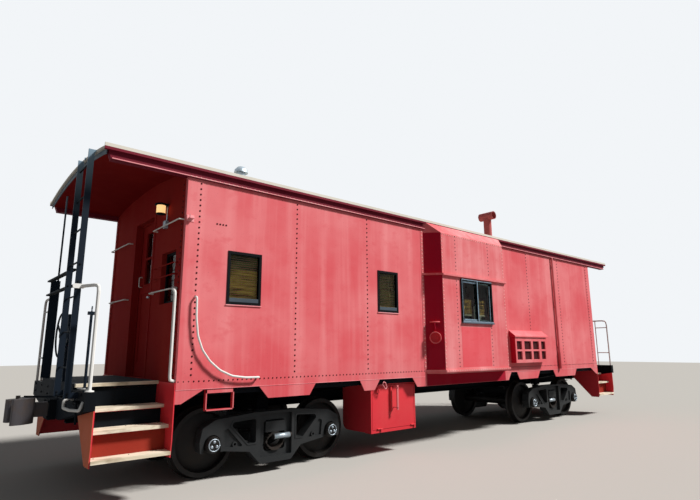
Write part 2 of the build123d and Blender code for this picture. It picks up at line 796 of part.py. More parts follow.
def door_glass():
    y0, y1, z0, z1 = DOOR_LIGHT
    return block(LEAF_X[0] + 18, LEAF_X[0] + 26, y0, y1, z0, z1)


# Truck side frame, cast in one: outline, jaws for the bearings, windows and recessed webs
JAW_R = 112
SPRING_X = 245
SPRING_Z = (205, 745)
SPRING_OPENING_X = 165
SPRING_OPENING_Z = (267, 660)


def truck_side_frame():
    half = [(330, 776), (880, 731), (1050, 640), (1082, 480), (1070, 350), (760, 350), (400, 300), (235, 130)]
    profile = [*half, *[(-x, z) for x, z in reversed(half)]]
    window = [(315, 700), (640, 682), (660, 640), (425, 400), (315, 400)]
    web = [(490, 378), (745, 392), (765, 590), (715, 615)]
    front, back = -FRAME_Y - FRAME_HALF, FRAME_HALF - FRAME_Y
    frame = rounded_side_plate(profile, 28, front, back)
    bead_face = offset(outline(Plane.XZ.offset(-front), *window), amount=16, kind=Kind.INTERSECTION)
    bead = extrude(bead_face, amount=7)
    pocket = rounded_side_plate(web, 14, front - 5, front + 24)
    boss = along_y(610, front, front + 30, 415, 34)
    bore = along_y(610, front - 5, back + 5, 415, 17)
    opening = rounded_side_plate(window, 30, front - 10, back + 5)
    frame = frame + bead + mirrored_x(bead) - pocket - mirrored_x(pocket) + boss + mirrored_x(boss)
    frame = frame - opening - mirrored_x(opening) - bore - mirrored_x(bore)
    for x, (z0, z1), radius, depth in (
        (SPRING_X, SPRING_Z, 20, front + 55),
        (SPRING_OPENING_X, SPRING_OPENING_Z, 50, back + 5),
    ):
        frame = frame - rounded_side_plate([(-x, z0), (x, z0), (x, z1), (-x, z1)], radius, front - 5, depth)
    for centre in (-WHEELBASE / 2, WHEELBASE / 2):
        frame = frame - along_y(centre, front - 5, back + 5, AXLE_Z, JAW_R)
        frame = frame - block(centre - JAW_R, centre + JAW_R, front - 5, back + 5, 300, AXLE_Z)
    return frame


# Bolster between the side frames, with the centre bowl and side bearings on top
def truck_bolster():
    half, end = FRAME_Y + 45, 150
    points = [(-half, 640), (-half, 505), (-560, 505), (-300, 440), (300, 440), (560, 505), (half, 505), (half, 640)]
    beam = end_plate([*points, (560, 640), (300, 672), (-300, 672), (-560, 640)], -end, end)
    bowl = upright(0, 0, 600, CENTRE_PLATE_Z - GAP, 195)
    bearings = [block(-70, 70, y - 45, y + 45, 600, 762) for y in (-SIDE_BEARING_Y, SIDE_BEARING_Y)]
    return join([beam, bowl, *bearings])


# Transoms joining the side frames, each carrying a brake beam with two shoes
SHOE_Y = (722, 812)


def truck_transom():
    inner = FRAME_Y - FRAME_HALF
    rail = block(250, 330, -inner, inner, 400, 500)
    axle_x = WHEELBASE / 2
    shoe = block(axle_x - TREAD_R - 60, axle_x - TREAD_R * 0.75, *SHOE_Y, 300, 560)
    shoe = shoe - along_y(axle_x, SHOE_Y[0] - 5, SHOE_Y[1] + 5, AXLE_Z, TREAD_R + 9)
    beam = along_y(415, -SHOE_Y[1] + 10, SHOE_Y[1] - 10, 430, 28)
    struts = [block(330, 410, y - 30, y + 30, 410, 450) for y in (-500, 500)]
    return join([rail, beam, *struts, shoe, mirrored_y(shoe)])


# Full elliptic leaf spring between the frame's spring seat and the bolster end
LEAF_ANGLES = [60, 46, 33, 20]  # half angle of each leaf in degrees, longest first
LEAF_THICK = 9
LEAF_RADIUS = 154
BOLSTER_LOW = 505


def leaf_nest():
    nest = []
    for level, angle in enumerate(LEAF_ANGLES):
        inner = LEAF_RADIUS + level * LEAF_THICK
        low = CenterArc((0, 0), inner + LEAF_THICK, -90 - angle, 2 * angle)
        high = CenterArc((0, 0), inner, -90 - angle, 2 * angle)
        nest.append(make_face(low + high + Line(low @ 0, high @ 0) + Line(low @ 1, high @ 1)))
    return join(nest)


def truck_spring():
    low, half_width = SPRING_OPENING_Z[0], 50
    middle = (low + BOLSTER_LOW) / 2
    rise = low + LEAF_RADIUS + LEAF_THICK * len(LEAF_ANGLES)
    lower = extrude(Plane.XZ.offset(FRAME_Y - half_width) * Pos(0, rise) * leaf_nest(), amount=2 * half_width)
    upper = mirror(lower, about=Plane.XY.offset(middle))
    eyes = [along_y(x, -FRAME_Y - half_width, half_width - FRAME_Y, middle, 14) for x in (-136, 136)]
    return join([lower, upper, *eyes])


# Snubber lying across the spring opening
def snubber():
    return along_x(-43, SPRING_X, -FRAME_Y - 57, AXLE_Z, 34)


# Wheels pressed on an axle that ends in bearing cups and caps
def wheel():
    rim_in, rim_out = WHEEL_INNER_Y, WHEEL_OUTER_Y
    points = [
        (AXLE_R, rim_in - 14),
        (140, rim_in - 14),
        (350, rim_in + 40),
        (362, rim_in),
        (FLANGE_R, rim_in + 12),
        (TREAD_R, rim_in + 36),
        (TREAD_R - 4, rim_out),
        (362, rim_out),
        (350, rim_in + 80),
        (140, rim_out + 16),
        (AXLE_R, rim_out + 16),
    ]
    return revolve(make_face(Polyline(*points, close=True)), Axis.Y)


def axle():
    hub_end = WHEEL_OUTER_Y + 16
    half = [(AXLE_R, hub_end), (72, hub_end), (72, 915), (100, 915), (100, 1100), (86, 1130), (0, 1130)]
    profile = [*half, *[(r, -y) for r, y in reversed(half)]]
    return revolve(make_face(Polyline(*profile, close=True)), Axis.Y)


os.makedirs("parts", exist_ok=True)

write("centre_sill", centre_sill())
write("cross_members", cross_members())
write("side_sills", side_sills())
write("end_sills", both_ends(end_sill()))
write("couplers", both_ends(coupler()))
write("floor", floor())
write("side_wall_left", side_wall())
write("side_wall_right", turned(side_wall()))
write("end_wall_near", end_wall())
write("end_wall_far", turned(end_wall()))
write("roof", roof())
write("roof_edges", both_ends(roof_edge()))
write("roof_end_arches", both_ends(roof_end_arch()))
write("porch_ceilings", both_ends(porch_ceiling()))
write("eave_bands", both_ends(eave_band()))
write("bay_left", bay())
write("bay_right", turned(bay()))
write("bay_cups", both_ends(bay_cup()))
write("window_frames", both_ends(window_frames()))
write("bay_window_frames", both_ends(bay_window_frame()))
write("window_glass", both_ends(window_panes()))
write("grille_boxes", both_ends(grille_box()))
write("side_pipes", both_ends(side_pipe()))
write("platforms", both_ends(platform()))
write("step_wells", both_ends(both_sides(step_well()), sill_step()))
write("step_treads", both_ends(both_sides(step_treads())))
write("end_uprights", both_ends(end_uprights()))
write("end_crossbars", both_ends(end_crossbars()))
write("brake_wheels", both_ends(brake_wheel()))
write("handrails", both_ends(end_wall_grabs(), step_handrails(), corner_frame(), side_grab()))
write("window_guards", both_ends(window_guards()))
write("porch_lamps", both_ends(porch_lamp()))
write("battery_box", battery_box())
write("battery_box_door", battery_door())
write("air_brake_gear", air_brake_gear())
write("smoke_stack", smoke_stack())
write("roof_vent", roof_vent())

write("near_door", door_leaf())
write("near_door_glass", door_glass())
write("far_door", turned(door_leaf()))
write("far_door_glass", turned(door_glass()))

side_frames = both_sides(truck_side_frame())
bolster = group(truck_bolster(), truck_transom(), mirrored_x(truck_transom()))
springs = both_sides(truck_spring(), snubber())
wheels = both_sides(wheel())
for end, place in (("near", Pos(-TRUCK_X, 0, 0)), ("far", Pos(TRUCK_X, 0, 0) * Rot(0, 0, 180))):
    write(end + "_truck_side_frames", place * side_frames)
    write(end + "_truck_bolster", place * bolster)
    write(end + "_truck_springs", place * springs)
    for which, x in (("inner", WHEELBASE / 2), ("outer", -WHEELBASE / 2)):
        write(end + "_" + which + "_wheels", place * Pos(x, 0, AXLE_Z) * wheels)
        write(end + "_" + which + "_axle", place * Pos(x, 0, AXLE_Z) * axle())
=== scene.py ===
"""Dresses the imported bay-window caboose: paint, rivets, blinds, hardware, light and camera.

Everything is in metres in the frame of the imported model: X along the car with the near end at
-X, Y across it with the left side at -Y, and Z up from the flange tips. The car repeats by a
half turn about Z, so most pieces are drawn at the near end or the left side and turned too.
"""

import logging
import math
from collections.abc import Iterable
from dataclasses import dataclass
from enum import Enum

import bpy
from mathutils import Matrix, Vector


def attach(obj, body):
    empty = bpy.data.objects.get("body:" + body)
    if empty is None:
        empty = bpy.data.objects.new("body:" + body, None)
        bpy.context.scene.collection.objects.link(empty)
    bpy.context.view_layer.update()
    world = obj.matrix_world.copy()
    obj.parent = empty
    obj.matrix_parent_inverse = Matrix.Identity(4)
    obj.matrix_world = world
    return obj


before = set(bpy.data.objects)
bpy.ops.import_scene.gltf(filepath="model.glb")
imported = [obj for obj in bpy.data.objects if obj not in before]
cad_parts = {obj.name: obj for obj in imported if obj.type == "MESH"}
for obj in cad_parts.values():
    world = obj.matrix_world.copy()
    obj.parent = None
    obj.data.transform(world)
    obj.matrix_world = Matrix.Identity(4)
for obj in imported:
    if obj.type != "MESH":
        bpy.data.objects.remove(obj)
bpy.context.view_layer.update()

log = logging.getLogger("caboose")

Span = tuple[float, float]
Point = tuple[float, float, float] | Vector
Colour = tuple[float, float, float, float]
Box = tuple[Span, Span, Span]  # from where to where along x, y and z
Faces = tuple[tuple[Span, Span], ...]  # flat bars in one plane, by their spans along its two axes
Tree = bpy.types.NodeTree
Socket = bpy.types.NodeSocket
Inputs = dict[str, object]
MM = 0.001
LEFT = Vector((0.0, -1.0, 0.0))
NEAR = Vector((-1.0, 0.0, 0.0))
UP = Vector((0.0, 0.0, 1.0))

# Colour and nodes

MIX_A, MIX_B, MIX_COLOUR = 6, 7, 2  # socket numbers of the Mix node in colour mode


def linear(code: str) -> Colour:
    """Turns an sRGB hex code into linear colour with full alpha, as sockets take it."""
    parts = [int(code[i : i + 2], 16) / 255 for i in (0, 2, 4)]
    return *(p / 12.92 if p <= 0.04045 else ((p + 0.055) / 1.055) ** 2.4 for p in parts), 1.0


def emptied(owner: bpy.types.ID) -> Tree:
    """Turns nodes on and clears the ones that come with them.

    Args:
        owner: The material or world.

    Returns:
        Its node tree, empty.
    """
    owner.use_nodes = True
    owner.node_tree.nodes.clear()
    return owner.node_tree


def add(tree: Tree, kind: str, inputs: dict | None = None, **settings: object) -> bpy.types.Node:
    """Adds a node with its settings and fills its sockets.

    Args:
        tree: The node tree that gets the node.
        kind: The node's type without its ShaderNode prefix.
        inputs: Values or output sockets by the input's name or number.
        **settings: Attributes of the node itself.

    Returns:
        The new node.
    """
    node = tree.nodes.new("ShaderNode" + kind)
    for name, value in settings.items():
        setattr(node, name, value)
    for key, value in (inputs or {}).items():
        if isinstance(value, Socket):
            tree.links.new(value, node.inputs[key])
        else:
            node.inputs[key].default_value = value
    return node


def cloudy(tree: Tree, size_mm: Point, detail: float) -> Socket:
    """Lays out cloudy spots that have a real size along each axis.

    Args:
        tree: The material's node tree.
        size_mm: The size of a spot along X, Y and Z.
        detail: How many finer layers lie on it.

    Returns:
        The pattern's strength, from 0 to 1.
    """
    place = add(tree, "TexCoord").outputs["Object"]
    scale = [1.0 / (size * MM) for size in size_mm]
    mapped = add(tree, "Mapping", {"Vector": place, "Scale": scale}).outputs[0]
    inputs = {"Vector": mapped, "Scale": 1.0, "Detail": detail, "Roughness": 0.55}
    return add(tree, "TexNoise", inputs).outputs[0]


def lay_over(
    tree: Tree, below: Socket | Colour, tint: str, pattern: Socket, window: Span, share: float
) -> Socket:
    """Lays a tint over a colour wherever a pattern is strong.

    Args:
        tree: The material's node tree.
        below: The colour that is there already.
        tint: The hex code of the colour that goes over it.
        pattern: The pattern's strength.
        window: The strengths at which the tint begins and is full.
        share: How much the tint covers where it is full.

    Returns:
        The colour with the tint on it.
    """
    inputs = {"Value": pattern, "From Min": window[0], "From Max": window[1], "To Max": share}
    amount = add(tree, "MapRange", inputs, clamp=True).outputs[0]
    mix = add(tree, "Mix", {0: amount, MIX_A: below, MIX_B: linear(tint)}, data_type="RGBA")
    return mix.outputs[MIX_COLOUR]


# Finishes


class Slot(Enum):
    """The record's material slots, one of which each finish names."""

    BODY = "body_paint"
    ROOF = "roof_paint"
    GREY = "grey_paint"
    CEILING = "ceiling_paint"
    BLACK = "black_paint"
    FLOOR = "floor_board"
    TREAD = "tread_board"
    WHITE = "white_paint"
    ALUMINIUM = "window_aluminium"
    LAMP = "lamp_glass"
    GLASS = "clear_glass"
    CASTING = "cast_steel"
    SPRING = "spring_steel"
    WHEEL = "wheel_steel"


@dataclass(frozen=True)
class Finish:
    """A surface as it is made, with the look that the eye gets from it."""

    name: str
    slot: Slot

    def material(self) -> bpy.types.Material:
        """Returns the material, made the first time that it is asked for."""
        made = bpy.data.materials.get(self.name)
        if made is None:
            made = bpy.data.materials.new(self.name)
            tree = emptied(made)
            shader = add(tree, "BsdfPrincipled", self.inputs(tree))
            add(tree, "OutputMaterial", {"Surface": shader.outputs[0]})
        return made

    def inputs(self, tree: Tree) -> Inputs:
        """Builds what the shader takes.

        Args:
            tree: The material's empty node tree.

        Returns:
            Values and sockets by the names of the shader's inputs.
        """
        raise NotImplementedError


@dataclass(frozen=True)
class FadedEnamel(Finish):
    """Brushed-on alkyd enamel over steel plate, chalked by the sun and streaked by rain."""

    fresh: str
    faded: str
    dark_tint: str
    streak_mm: float = 75.0
    streak_share: float = 0.45
    roughness: float = 0.6
    gloss: float = 0.18
    dark_tint_top: float = 1.55
    dark_tint_bottom: float = 0.4
    dark_tint_share: float = 0.45
    ripple_mm: float = 2.5

    def inputs(self, tree: Tree) -> Inputs:
        """Chalky patches, rain streaks that run down, a darker tint towards the foot and slightly buckled
        plate; the tint is road soil, but on the ladders the pale top above it is painted light.

        Args:
            tree: The material's empty node tree.

        Returns:
            Values and sockets by the names of the shader's inputs.
        """
        narrow, wide = self.streak_mm, 3 * self.streak_mm
        patches = cloudy(tree, (1100, 1100, 900), 3)
        height = add(tree, "SeparateXYZ", {0: add(tree, "TexCoord").outputs["Object"]}).outputs["Z"]
        ramp = {"Value": height, "From Min": self.dark_tint_top, "From Max": self.dark_tint_bottom}
        low_down = add(tree, "MapRange", {**ramp, "To Max": self.dark_tint_share}, clamp=True).outputs[0]
        # How much of the darker tint lies here; on the ladders, where it is low, the pale is painted light
        dark_tint_amount = add(tree, "Math", {0: low_down, 1: patches}, operation="MULTIPLY").outputs[0]
        colour = linear(self.fresh)
        for tint, pattern, window, share in (
            (self.faded, patches, (0.35, 0.70), 0.55),
            (self.faded, cloudy(tree, (wide, wide, 4200), 3), (0.47, 0.70), self.streak_share),
            (self.faded, cloudy(tree, (narrow, narrow, 2600), 4), (0.52, 0.78), 0.5 * self.streak_share),
            (self.fresh, cloudy(tree, (190, 190, 130), 4), (0.56, 0.72), 0.45),
            (self.dark_tint, dark_tint_amount, (0.0, 1.0), 1.0),
            (self.dark_tint, cloudy(tree, (14, 14, 14), 2), (0.66, 0.80), 0.4),
        ):
            colour = lay_over(tree, colour, tint, pattern, window, share)
        buckles, brush = cloudy(tree, (420, 420, 700), 1), cloudy(tree, (6, 6, 60), 2)
        relief = {"Height": buckles, "Distance": self.ripple_mm * MM, "Strength": 1.0}
        plate = add(tree, "Bump", relief).outputs[0]
        relief = {"Height": brush, "Distance": 0.3 * MM, "Strength": 0.5, "Normal": plate}
        sheen = {"Value": patches, "To Min": self.roughness - 0.08, "To Max": self.roughness + 0.14}
        inputs = {"Base Color": colour, "Roughness": add(tree, "MapRange", sheen).outputs[0]}
        inputs |= {"Normal": add(tree, "Bump", relief).outputs[0], "IOR": 1.5}
        return {**inputs, "Specular IOR Level": self.gloss}


@dataclass(frozen=True)
class Spots:
    """How a tint lies: cloudy spots of a real size, from faint to full between two strengths."""

    size_mm: Point
    detail: float
    window: Span
    share: float = 0.8


@dataclass(frozen=True)
class Grain:
    """Fine relief: the size of its grains, how finely layered they are, and how far they stand out."""

    size_mm: Point
    detail: float
    height_mm: float
    strength: float


@dataclass(frozen=True)
class Layered(Finish):
    """A ground colour with tints clouded over it, one for each of its kinds of spot, and a grain."""

    ground: str
    tints: tuple[str, ...]
    spots: tuple[Spots, ...] = ()
    grain: Grain | None = None
    metallic: float = 0.0
    roughness: float = 0.8
    glow: float = 0.0

    def inputs(self, tree: Tree) -> Inputs:
        """Lays the tints over the ground colour and raises the grain.

        Args:
            tree: The material's empty node tree.

        Returns:
            Values and sockets by the names of the shader's inputs.
        """
        colour = linear(self.ground)
        for tint, spot in zip(self.tints, self.spots):
            pattern = cloudy(tree, spot.size_mm, spot.detail)
            colour = lay_over(tree, colour, tint, pattern, spot.window, spot.share)
        inputs = {"Base Color": colour, "Metallic": self.metallic, "Roughness": self.roughness}
        if self.grain:
            relief = {"Distance": self.grain.height_mm * MM, "Strength": self.grain.strength}
            relief["Height"] = cloudy(tree, self.grain.size_mm, self.grain.detail)
            inputs["Normal"] = add(tree, "Bump", relief).outputs[0]
        if self.glow:
            inputs |= {"Emission Color": linear(self.tints[-1]), "Emission Strength": self.glow}
        return inputs


@dataclass(frozen=True)
class CastSteel(Layered):
    """Sand-cast steel, left rough, with brake dust and oil caught in broad patches."""

    spots: tuple[Spots, ...] = (Spots((160, 160, 160), 5, (0.42, 0.70)),)
    grain: Grain = Grain((4, 4, 4), 2, 1.2, 0.8)
    metallic: float = 0.3
    roughness: float = 0.75


@dataclass(frozen=True)
class SawnPine(Layered):
    """Sawn pine boards with long grain lines along X, scuffed darker by boots and weather."""

    spots: tuple[Spots, ...] = (
        Spots((900, 22, 22), 4, (0.42, 0.62)),
        Spots((210, 90, 90), 3, (0.50, 0.72), 0.7),
    )
    grain: Grain = Grain((900, 22, 22), 4, 1.5, 0.7)


@dataclass(frozen=True)
class MillAluminium(Layered):
    """Extruded aluminium with fine lines along the section, dulled in spots to a blue grey."""

    spots: tuple[Spots, ...] = (Spots((45, 45, 45), 3, (0.40, 0.70)),)
    grain: Grain = Grain((400, 3, 400), 2, 0.2, 0.4)
    metallic: float = 0.6
    roughness: float = 0.42


@dataclass(frozen=True)
class SplitBamboo(Layered):
    """Split bamboo slats, each of its own shade, with short darker nodes along them."""

    spots: tuple[Spots, ...] = (Spots((260, 900, 26), 4, (0.36, 0.64), 1.0),)
    grain: Grain = Grain((260, 900, 26), 4, 1.0, 0.6)
    roughness: float = 0.6


@dataclass(frozen=True)
class LampGlow(Layered):
    """Frosted lamp glass, brighter in patches as the frosting spreads the bulb's warm light."""

    spots: tuple[Spots, ...] = (Spots((30, 30, 30), 2, (0.30, 0.70), 1.0),)
    roughness: float = 0.5
    glow: float = 1.0


@dataclass(frozen=True)
class WindowGlass(Finish):
    """Float glass in the windows, a little dusty; its low index keeps the dark room in view."""

    tint: str
    index: float = 1.12

    def inputs(self, tree: Tree) -> Inputs:
        """Clear pane with a faint film of dust in its roughness.

        Args:
            tree: The material's empty node tree.

        Returns:
            Values and sockets by the names of the shader's inputs.
        """
        film = {"Value": cloudy(tree, (300, 300, 500), 1), "To Min": 0.03, "To Max": 0.06}
        inputs = {"Base Color": linear(self.tint), "Roughness": add(tree, "MapRange", film).outputs[0]}
        return {**inputs, "IOR": self.index, "Transmission Weight": 1.0}


# Chalked red enamel gives the sides their pink cast, streaked paler where rain runs
BODY_RED = FadedEnamel("faded_red_enamel", Slot.BODY, "D0525A", "E58F92", "6A262B")
# The bay stands out into the sun, so its enamel has chalked furthest
CHALKED_RED = FadedEnamel("chalked_red_enamel", Slot.BODY, "D05A60", "ECA6A8", "6A262B")
# Painted shade: the same enamel made a deep dark red for the ends, their doors and trim, which face away
# from the sun; it is matt as well
SHADE = {"streak_share": 0.3, "roughness": 0.8, "gloss": 0.05}
PAINTED_SHADE_RED = FadedEnamel("painted_shade_red_enamel", Slot.BODY, "8E1A1C", "9C342C", "3A100E", **SHADE)
# Painted shade: where the bay shades itself, on its cup's pipe and on the grille boxes' cheeks, the enamel
# is a deep crimson
SHADE_CRIMSON = FadedEnamel("crimson_painted_shade_enamel", Slot.BODY, "A4152E", "A92C3E", "3A100E", **SHADE)
# Painted shade: the band under the eaves and the foot of the white edge are a dark wine red that stands for
# the roof edge's shadow
EAVE_SHADE_RED = FadedEnamel(
    "eave_painted_shade_enamel", Slot.BODY, "6A1227", "7E2A39", "3A1018", streak_share=0.3, gloss=0.1
)
# Soot from the stove has browned the enamel of the stack
STACK_RED = FadedEnamel("sooted_stack_enamel", Slot.BODY, "A8484A", "BE6A66", "2E1210", streak_share=0.3)
# A newer coat on the battery box and steps, glossier and more orange
FRESH_RED = FadedEnamel(
    "fresh_red_enamel", Slot.BODY, "DC303E", "E85054", "571517", streak_share=0.2, roughness=0.42
)
# Brick-red primer shows on the lowest riser
PRIMER_RED = FadedEnamel(
    "brick_red_primer", Slot.BODY, "90261A", "A23C2E", "4A1C14", streak_share=0.3, gloss=0.1
)
# The same primer on the ends of the step wells is made paler: painted light for the sun and the ground's
# bounce that fall on them
PRIMER_PAINTED_LIGHT = FadedEnamel(
    "red_primer_painted_light", Slot.BODY, "DC7656", "E69279", "8E4838", streak_share=0.3, gloss=0.05
)
# Near-black red: the rivets up the joints and on the end walls are dark dots, and behind the grille panes it
# is painted shade
NEAR_BLACK_AND_SHADE_RED = FadedEnamel(
    "near_black_and_painted_shade_enamel", Slot.BODY, "30090C", "4A1519", "1C0709", ripple_mm=0.5, gloss=0.1
)
# Painted highlight: the edges of trim, the sills, the marker bracket and the battery box's eye are a pale
# pink for the sun that they catch
TRIM_HIGHLIGHT_RED = FadedEnamel("trim_painted_highlight_enamel", Slot.BODY, "DC7C84", "F0AEB2", "8E3A40", ripple_mm=0.5)
# Painted highlight: heads on the ledge and the flanges are a pale pink for the sun that they catch, partly
# also chipped to a chalky pink undercoat
PALE_RIVET_HIGHLIGHT = FadedEnamel("pale_rivet_painted_highlight_enamel", Slot.BODY, "EFB8B0", "F8D4CC", "8E3A40", ripple_mm=0.5)
# The patch under the bay window was painted again later
PATCH_RED = FadedEnamel(
    "repainted_patch_enamel", Slot.BODY, "D4444E", "E06C74", "571517", streak_share=0.25, roughness=0.5
)
# Painted shade: the porch ceiling is a deep dark red that stands for the shade under the roof
CEILING_SHADE_RED = FadedEnamel(
    "ceiling_painted_shade_enamel", Slot.CEILING, "7C0F11", "8E2420", "340A0B", streak_share=0.3, roughness=0.85,
    gloss=0.03,
)
# Elastic roof coating, matt and off-white
ROOF_COAT = FadedEnamel(
    "roof_coating", Slot.ROOF, "CECABF", "DEDBD2", "8C887C", roughness=0.75, dark_tint_top=3.9,
    dark_tint_share=0.2,
)
# The foot rails of the windows hold road dirt, so their grey is deeper
RAIL_GREY = FadedEnamel("foot_rail_enamel", Slot.GREY, "36404A", "4B5762", "2C3034", streak_share=0.3)
SLATE_GREY = FadedEnamel("slate_grey_enamel", Slot.GREY, "4E5A66", "6C7985", "2C3034", streak_share=0.3)
# Black enamel with the blue-grey bloom that old black paint gets
BLACK_BLUE = FadedEnamel(
    "bloomed_black_enamel", Slot.BLACK, "0D1014", "1E252D", "0C0B0A", dark_tint_share=0.6, roughness=0.7,
    gloss=0.05,
)
# Window frames kept in soot-black paint read as a dark line round each pane
FRAME_BLACK = FadedEnamel("frame_black_enamel", Slot.BLACK, "08090B", "111419", "0B0A09", gloss=0.06)
# The ladders wear a bluer enamel, dark navy low down; their tops, which stand clear of the roof's shade, are
# pale blue grey as painted light
LADDER_PAINTED_LIGHT_BLUE = FadedEnamel(
    "ladder_blue_painted_light_enamel", Slot.BLACK, "6E8698", "8CA3B2", "0C1723", gloss=0.12, dark_tint_top=3.85,
    dark_tint_bottom=2.60, dark_tint_share=4.0,
)
# Hands have kept the rails clean, so they stay the brightest paint on the car
HANDRAIL_WHITE = FadedEnamel(
    "handrail_white_enamel", Slot.WHITE, "DADBDA", "E6E6E3", "A8A49C", streak_mm=25, ripple_mm=0.5,
    dark_tint_share=0.3,
)
FINE_GRIT, GRIT = (Grain((size, size, size), 2, 1.2, 0.8) for size in (2, 3))
# Old oil keeps the truck castings nearly black
TRUCK_CASTING = CastSteel("oiled_cast_steel", Slot.CASTING, "0D1114", ("191B1C",))
# Rust shows brown on the leaves of the springs
SPRING_STEEL = CastSteel(
    "rusty_spring_steel", Slot.SPRING, "191716", ("31261F",), grain=FINE_GRIT, metallic=0.5
)
# Coupler castings are worn clean of paint, so they show a pale brown grey
COUPLER_STEEL = CastSteel("worn_coupler_steel", Slot.CASTING, "4A474B", ("57493F",))
# Wheels are rolled smoother than castings, so they have a little shine
WHEEL_STEEL = CastSteel(
    "rolled_wheel_steel", Slot.WHEEL, "121111", ("201A16",), grain=GRIT, metallic=0.6, roughness=0.6
)
# Zinc plating keeps the small fittings bright
BRIGHT_STEEL = CastSteel(
    "zinc_plated_steel", Slot.SPRING, "A9B6C0", ("7C868E",), grain=FINE_GRIT, metallic=0.7, roughness=0.4
)
TREAD_PINE = SawnPine("worn_pine_tread", Slot.TREAD, "E4DBC8", ("CBBEA4", "8C7A60"))
FLOOR_PINE = SawnPine("cabin_floor_pine", Slot.FLOOR, "8A6B49", ("6F5438", "4A3826"))
PANE_GLASS = WindowGlass("dusty_float_glass", Slot.GLASS, "B8BEB4")
SASH_ALUMINIUM = MillAluminium("dulled_aluminium_sash", Slot.ALUMINIUM, "7F95A6", ("4C5B68",))
BLIND_BAMBOO = SplitBamboo("split_bamboo_blind", Slot.TREAD, "DDA850", ("5E3F1A",))
# Where the window's head shades the blind its slats look brown
SHADED_BAMBOO = SplitBamboo("shaded_bamboo_blind", Slot.TREAD, "8C7242", ("35260F",))
LAMP_GLASS = LampGlow("lit_lamp_glass", Slot.LAMP, "C08E52", ("FFCB8A",))


# Making meshes


class Round(Enum):
    """How many sides a round thing gets, by how close it is looked at."""

    HEX = 6
    RIVET = 8
    TUBE = 14
    DISC = 28


def around(centre: Vector, radius: float, across: Vector, up: Vector, sides: Round) -> list[Vector]:
    """Spreads points evenly round a centre, in the plane of two directions."""
    turns = (2 * math.pi * i / sides.value for i in range(sides.value))
    return [centre + radius * (math.cos(turn) * across + math.sin(turn) * up) for turn in turns]


def spaced(start: float, stop: float, pitch: float) -> list[float]:
    """Spaces things evenly from one end to the other, as near to a pitch as fits."""
    count = max(1, round(abs(stop - start) / pitch))
    return [start + (stop - start) * i / count for i in range(count + 1)]


def rounded(corners: list[Vector], bend: float) -> list[Vector]:
    """Rounds the inner corners of a path with arcs.

    Args:
        corners: The path's corners.
        bend: The radius of each arc, made smaller where a run is too short for it, or 0 for none.

    Returns:
        The points of the rounded path.
    """
    if not bend:
        return corners
    steps, longest = 6, 0.48  # runs in an arc, and how much of a straight run it may take
    path = [corners[0]]
    for before, corner, after in zip(corners, corners[1:], corners[2:]):
        back, ahead = before - corner, after - corner
        reach = min(bend / math.tan(back.angle(ahead) / 2), longest * back.length, longest * ahead.length)
        start, end = corner + back.normalized() * reach, corner + ahead.normalized() * reach
        for t in (step / steps for step in range(steps + 1)):
            path.append(start.lerp(corner, t).lerp(corner.lerp(end, t), t))
    return [*path, corners[-1]]


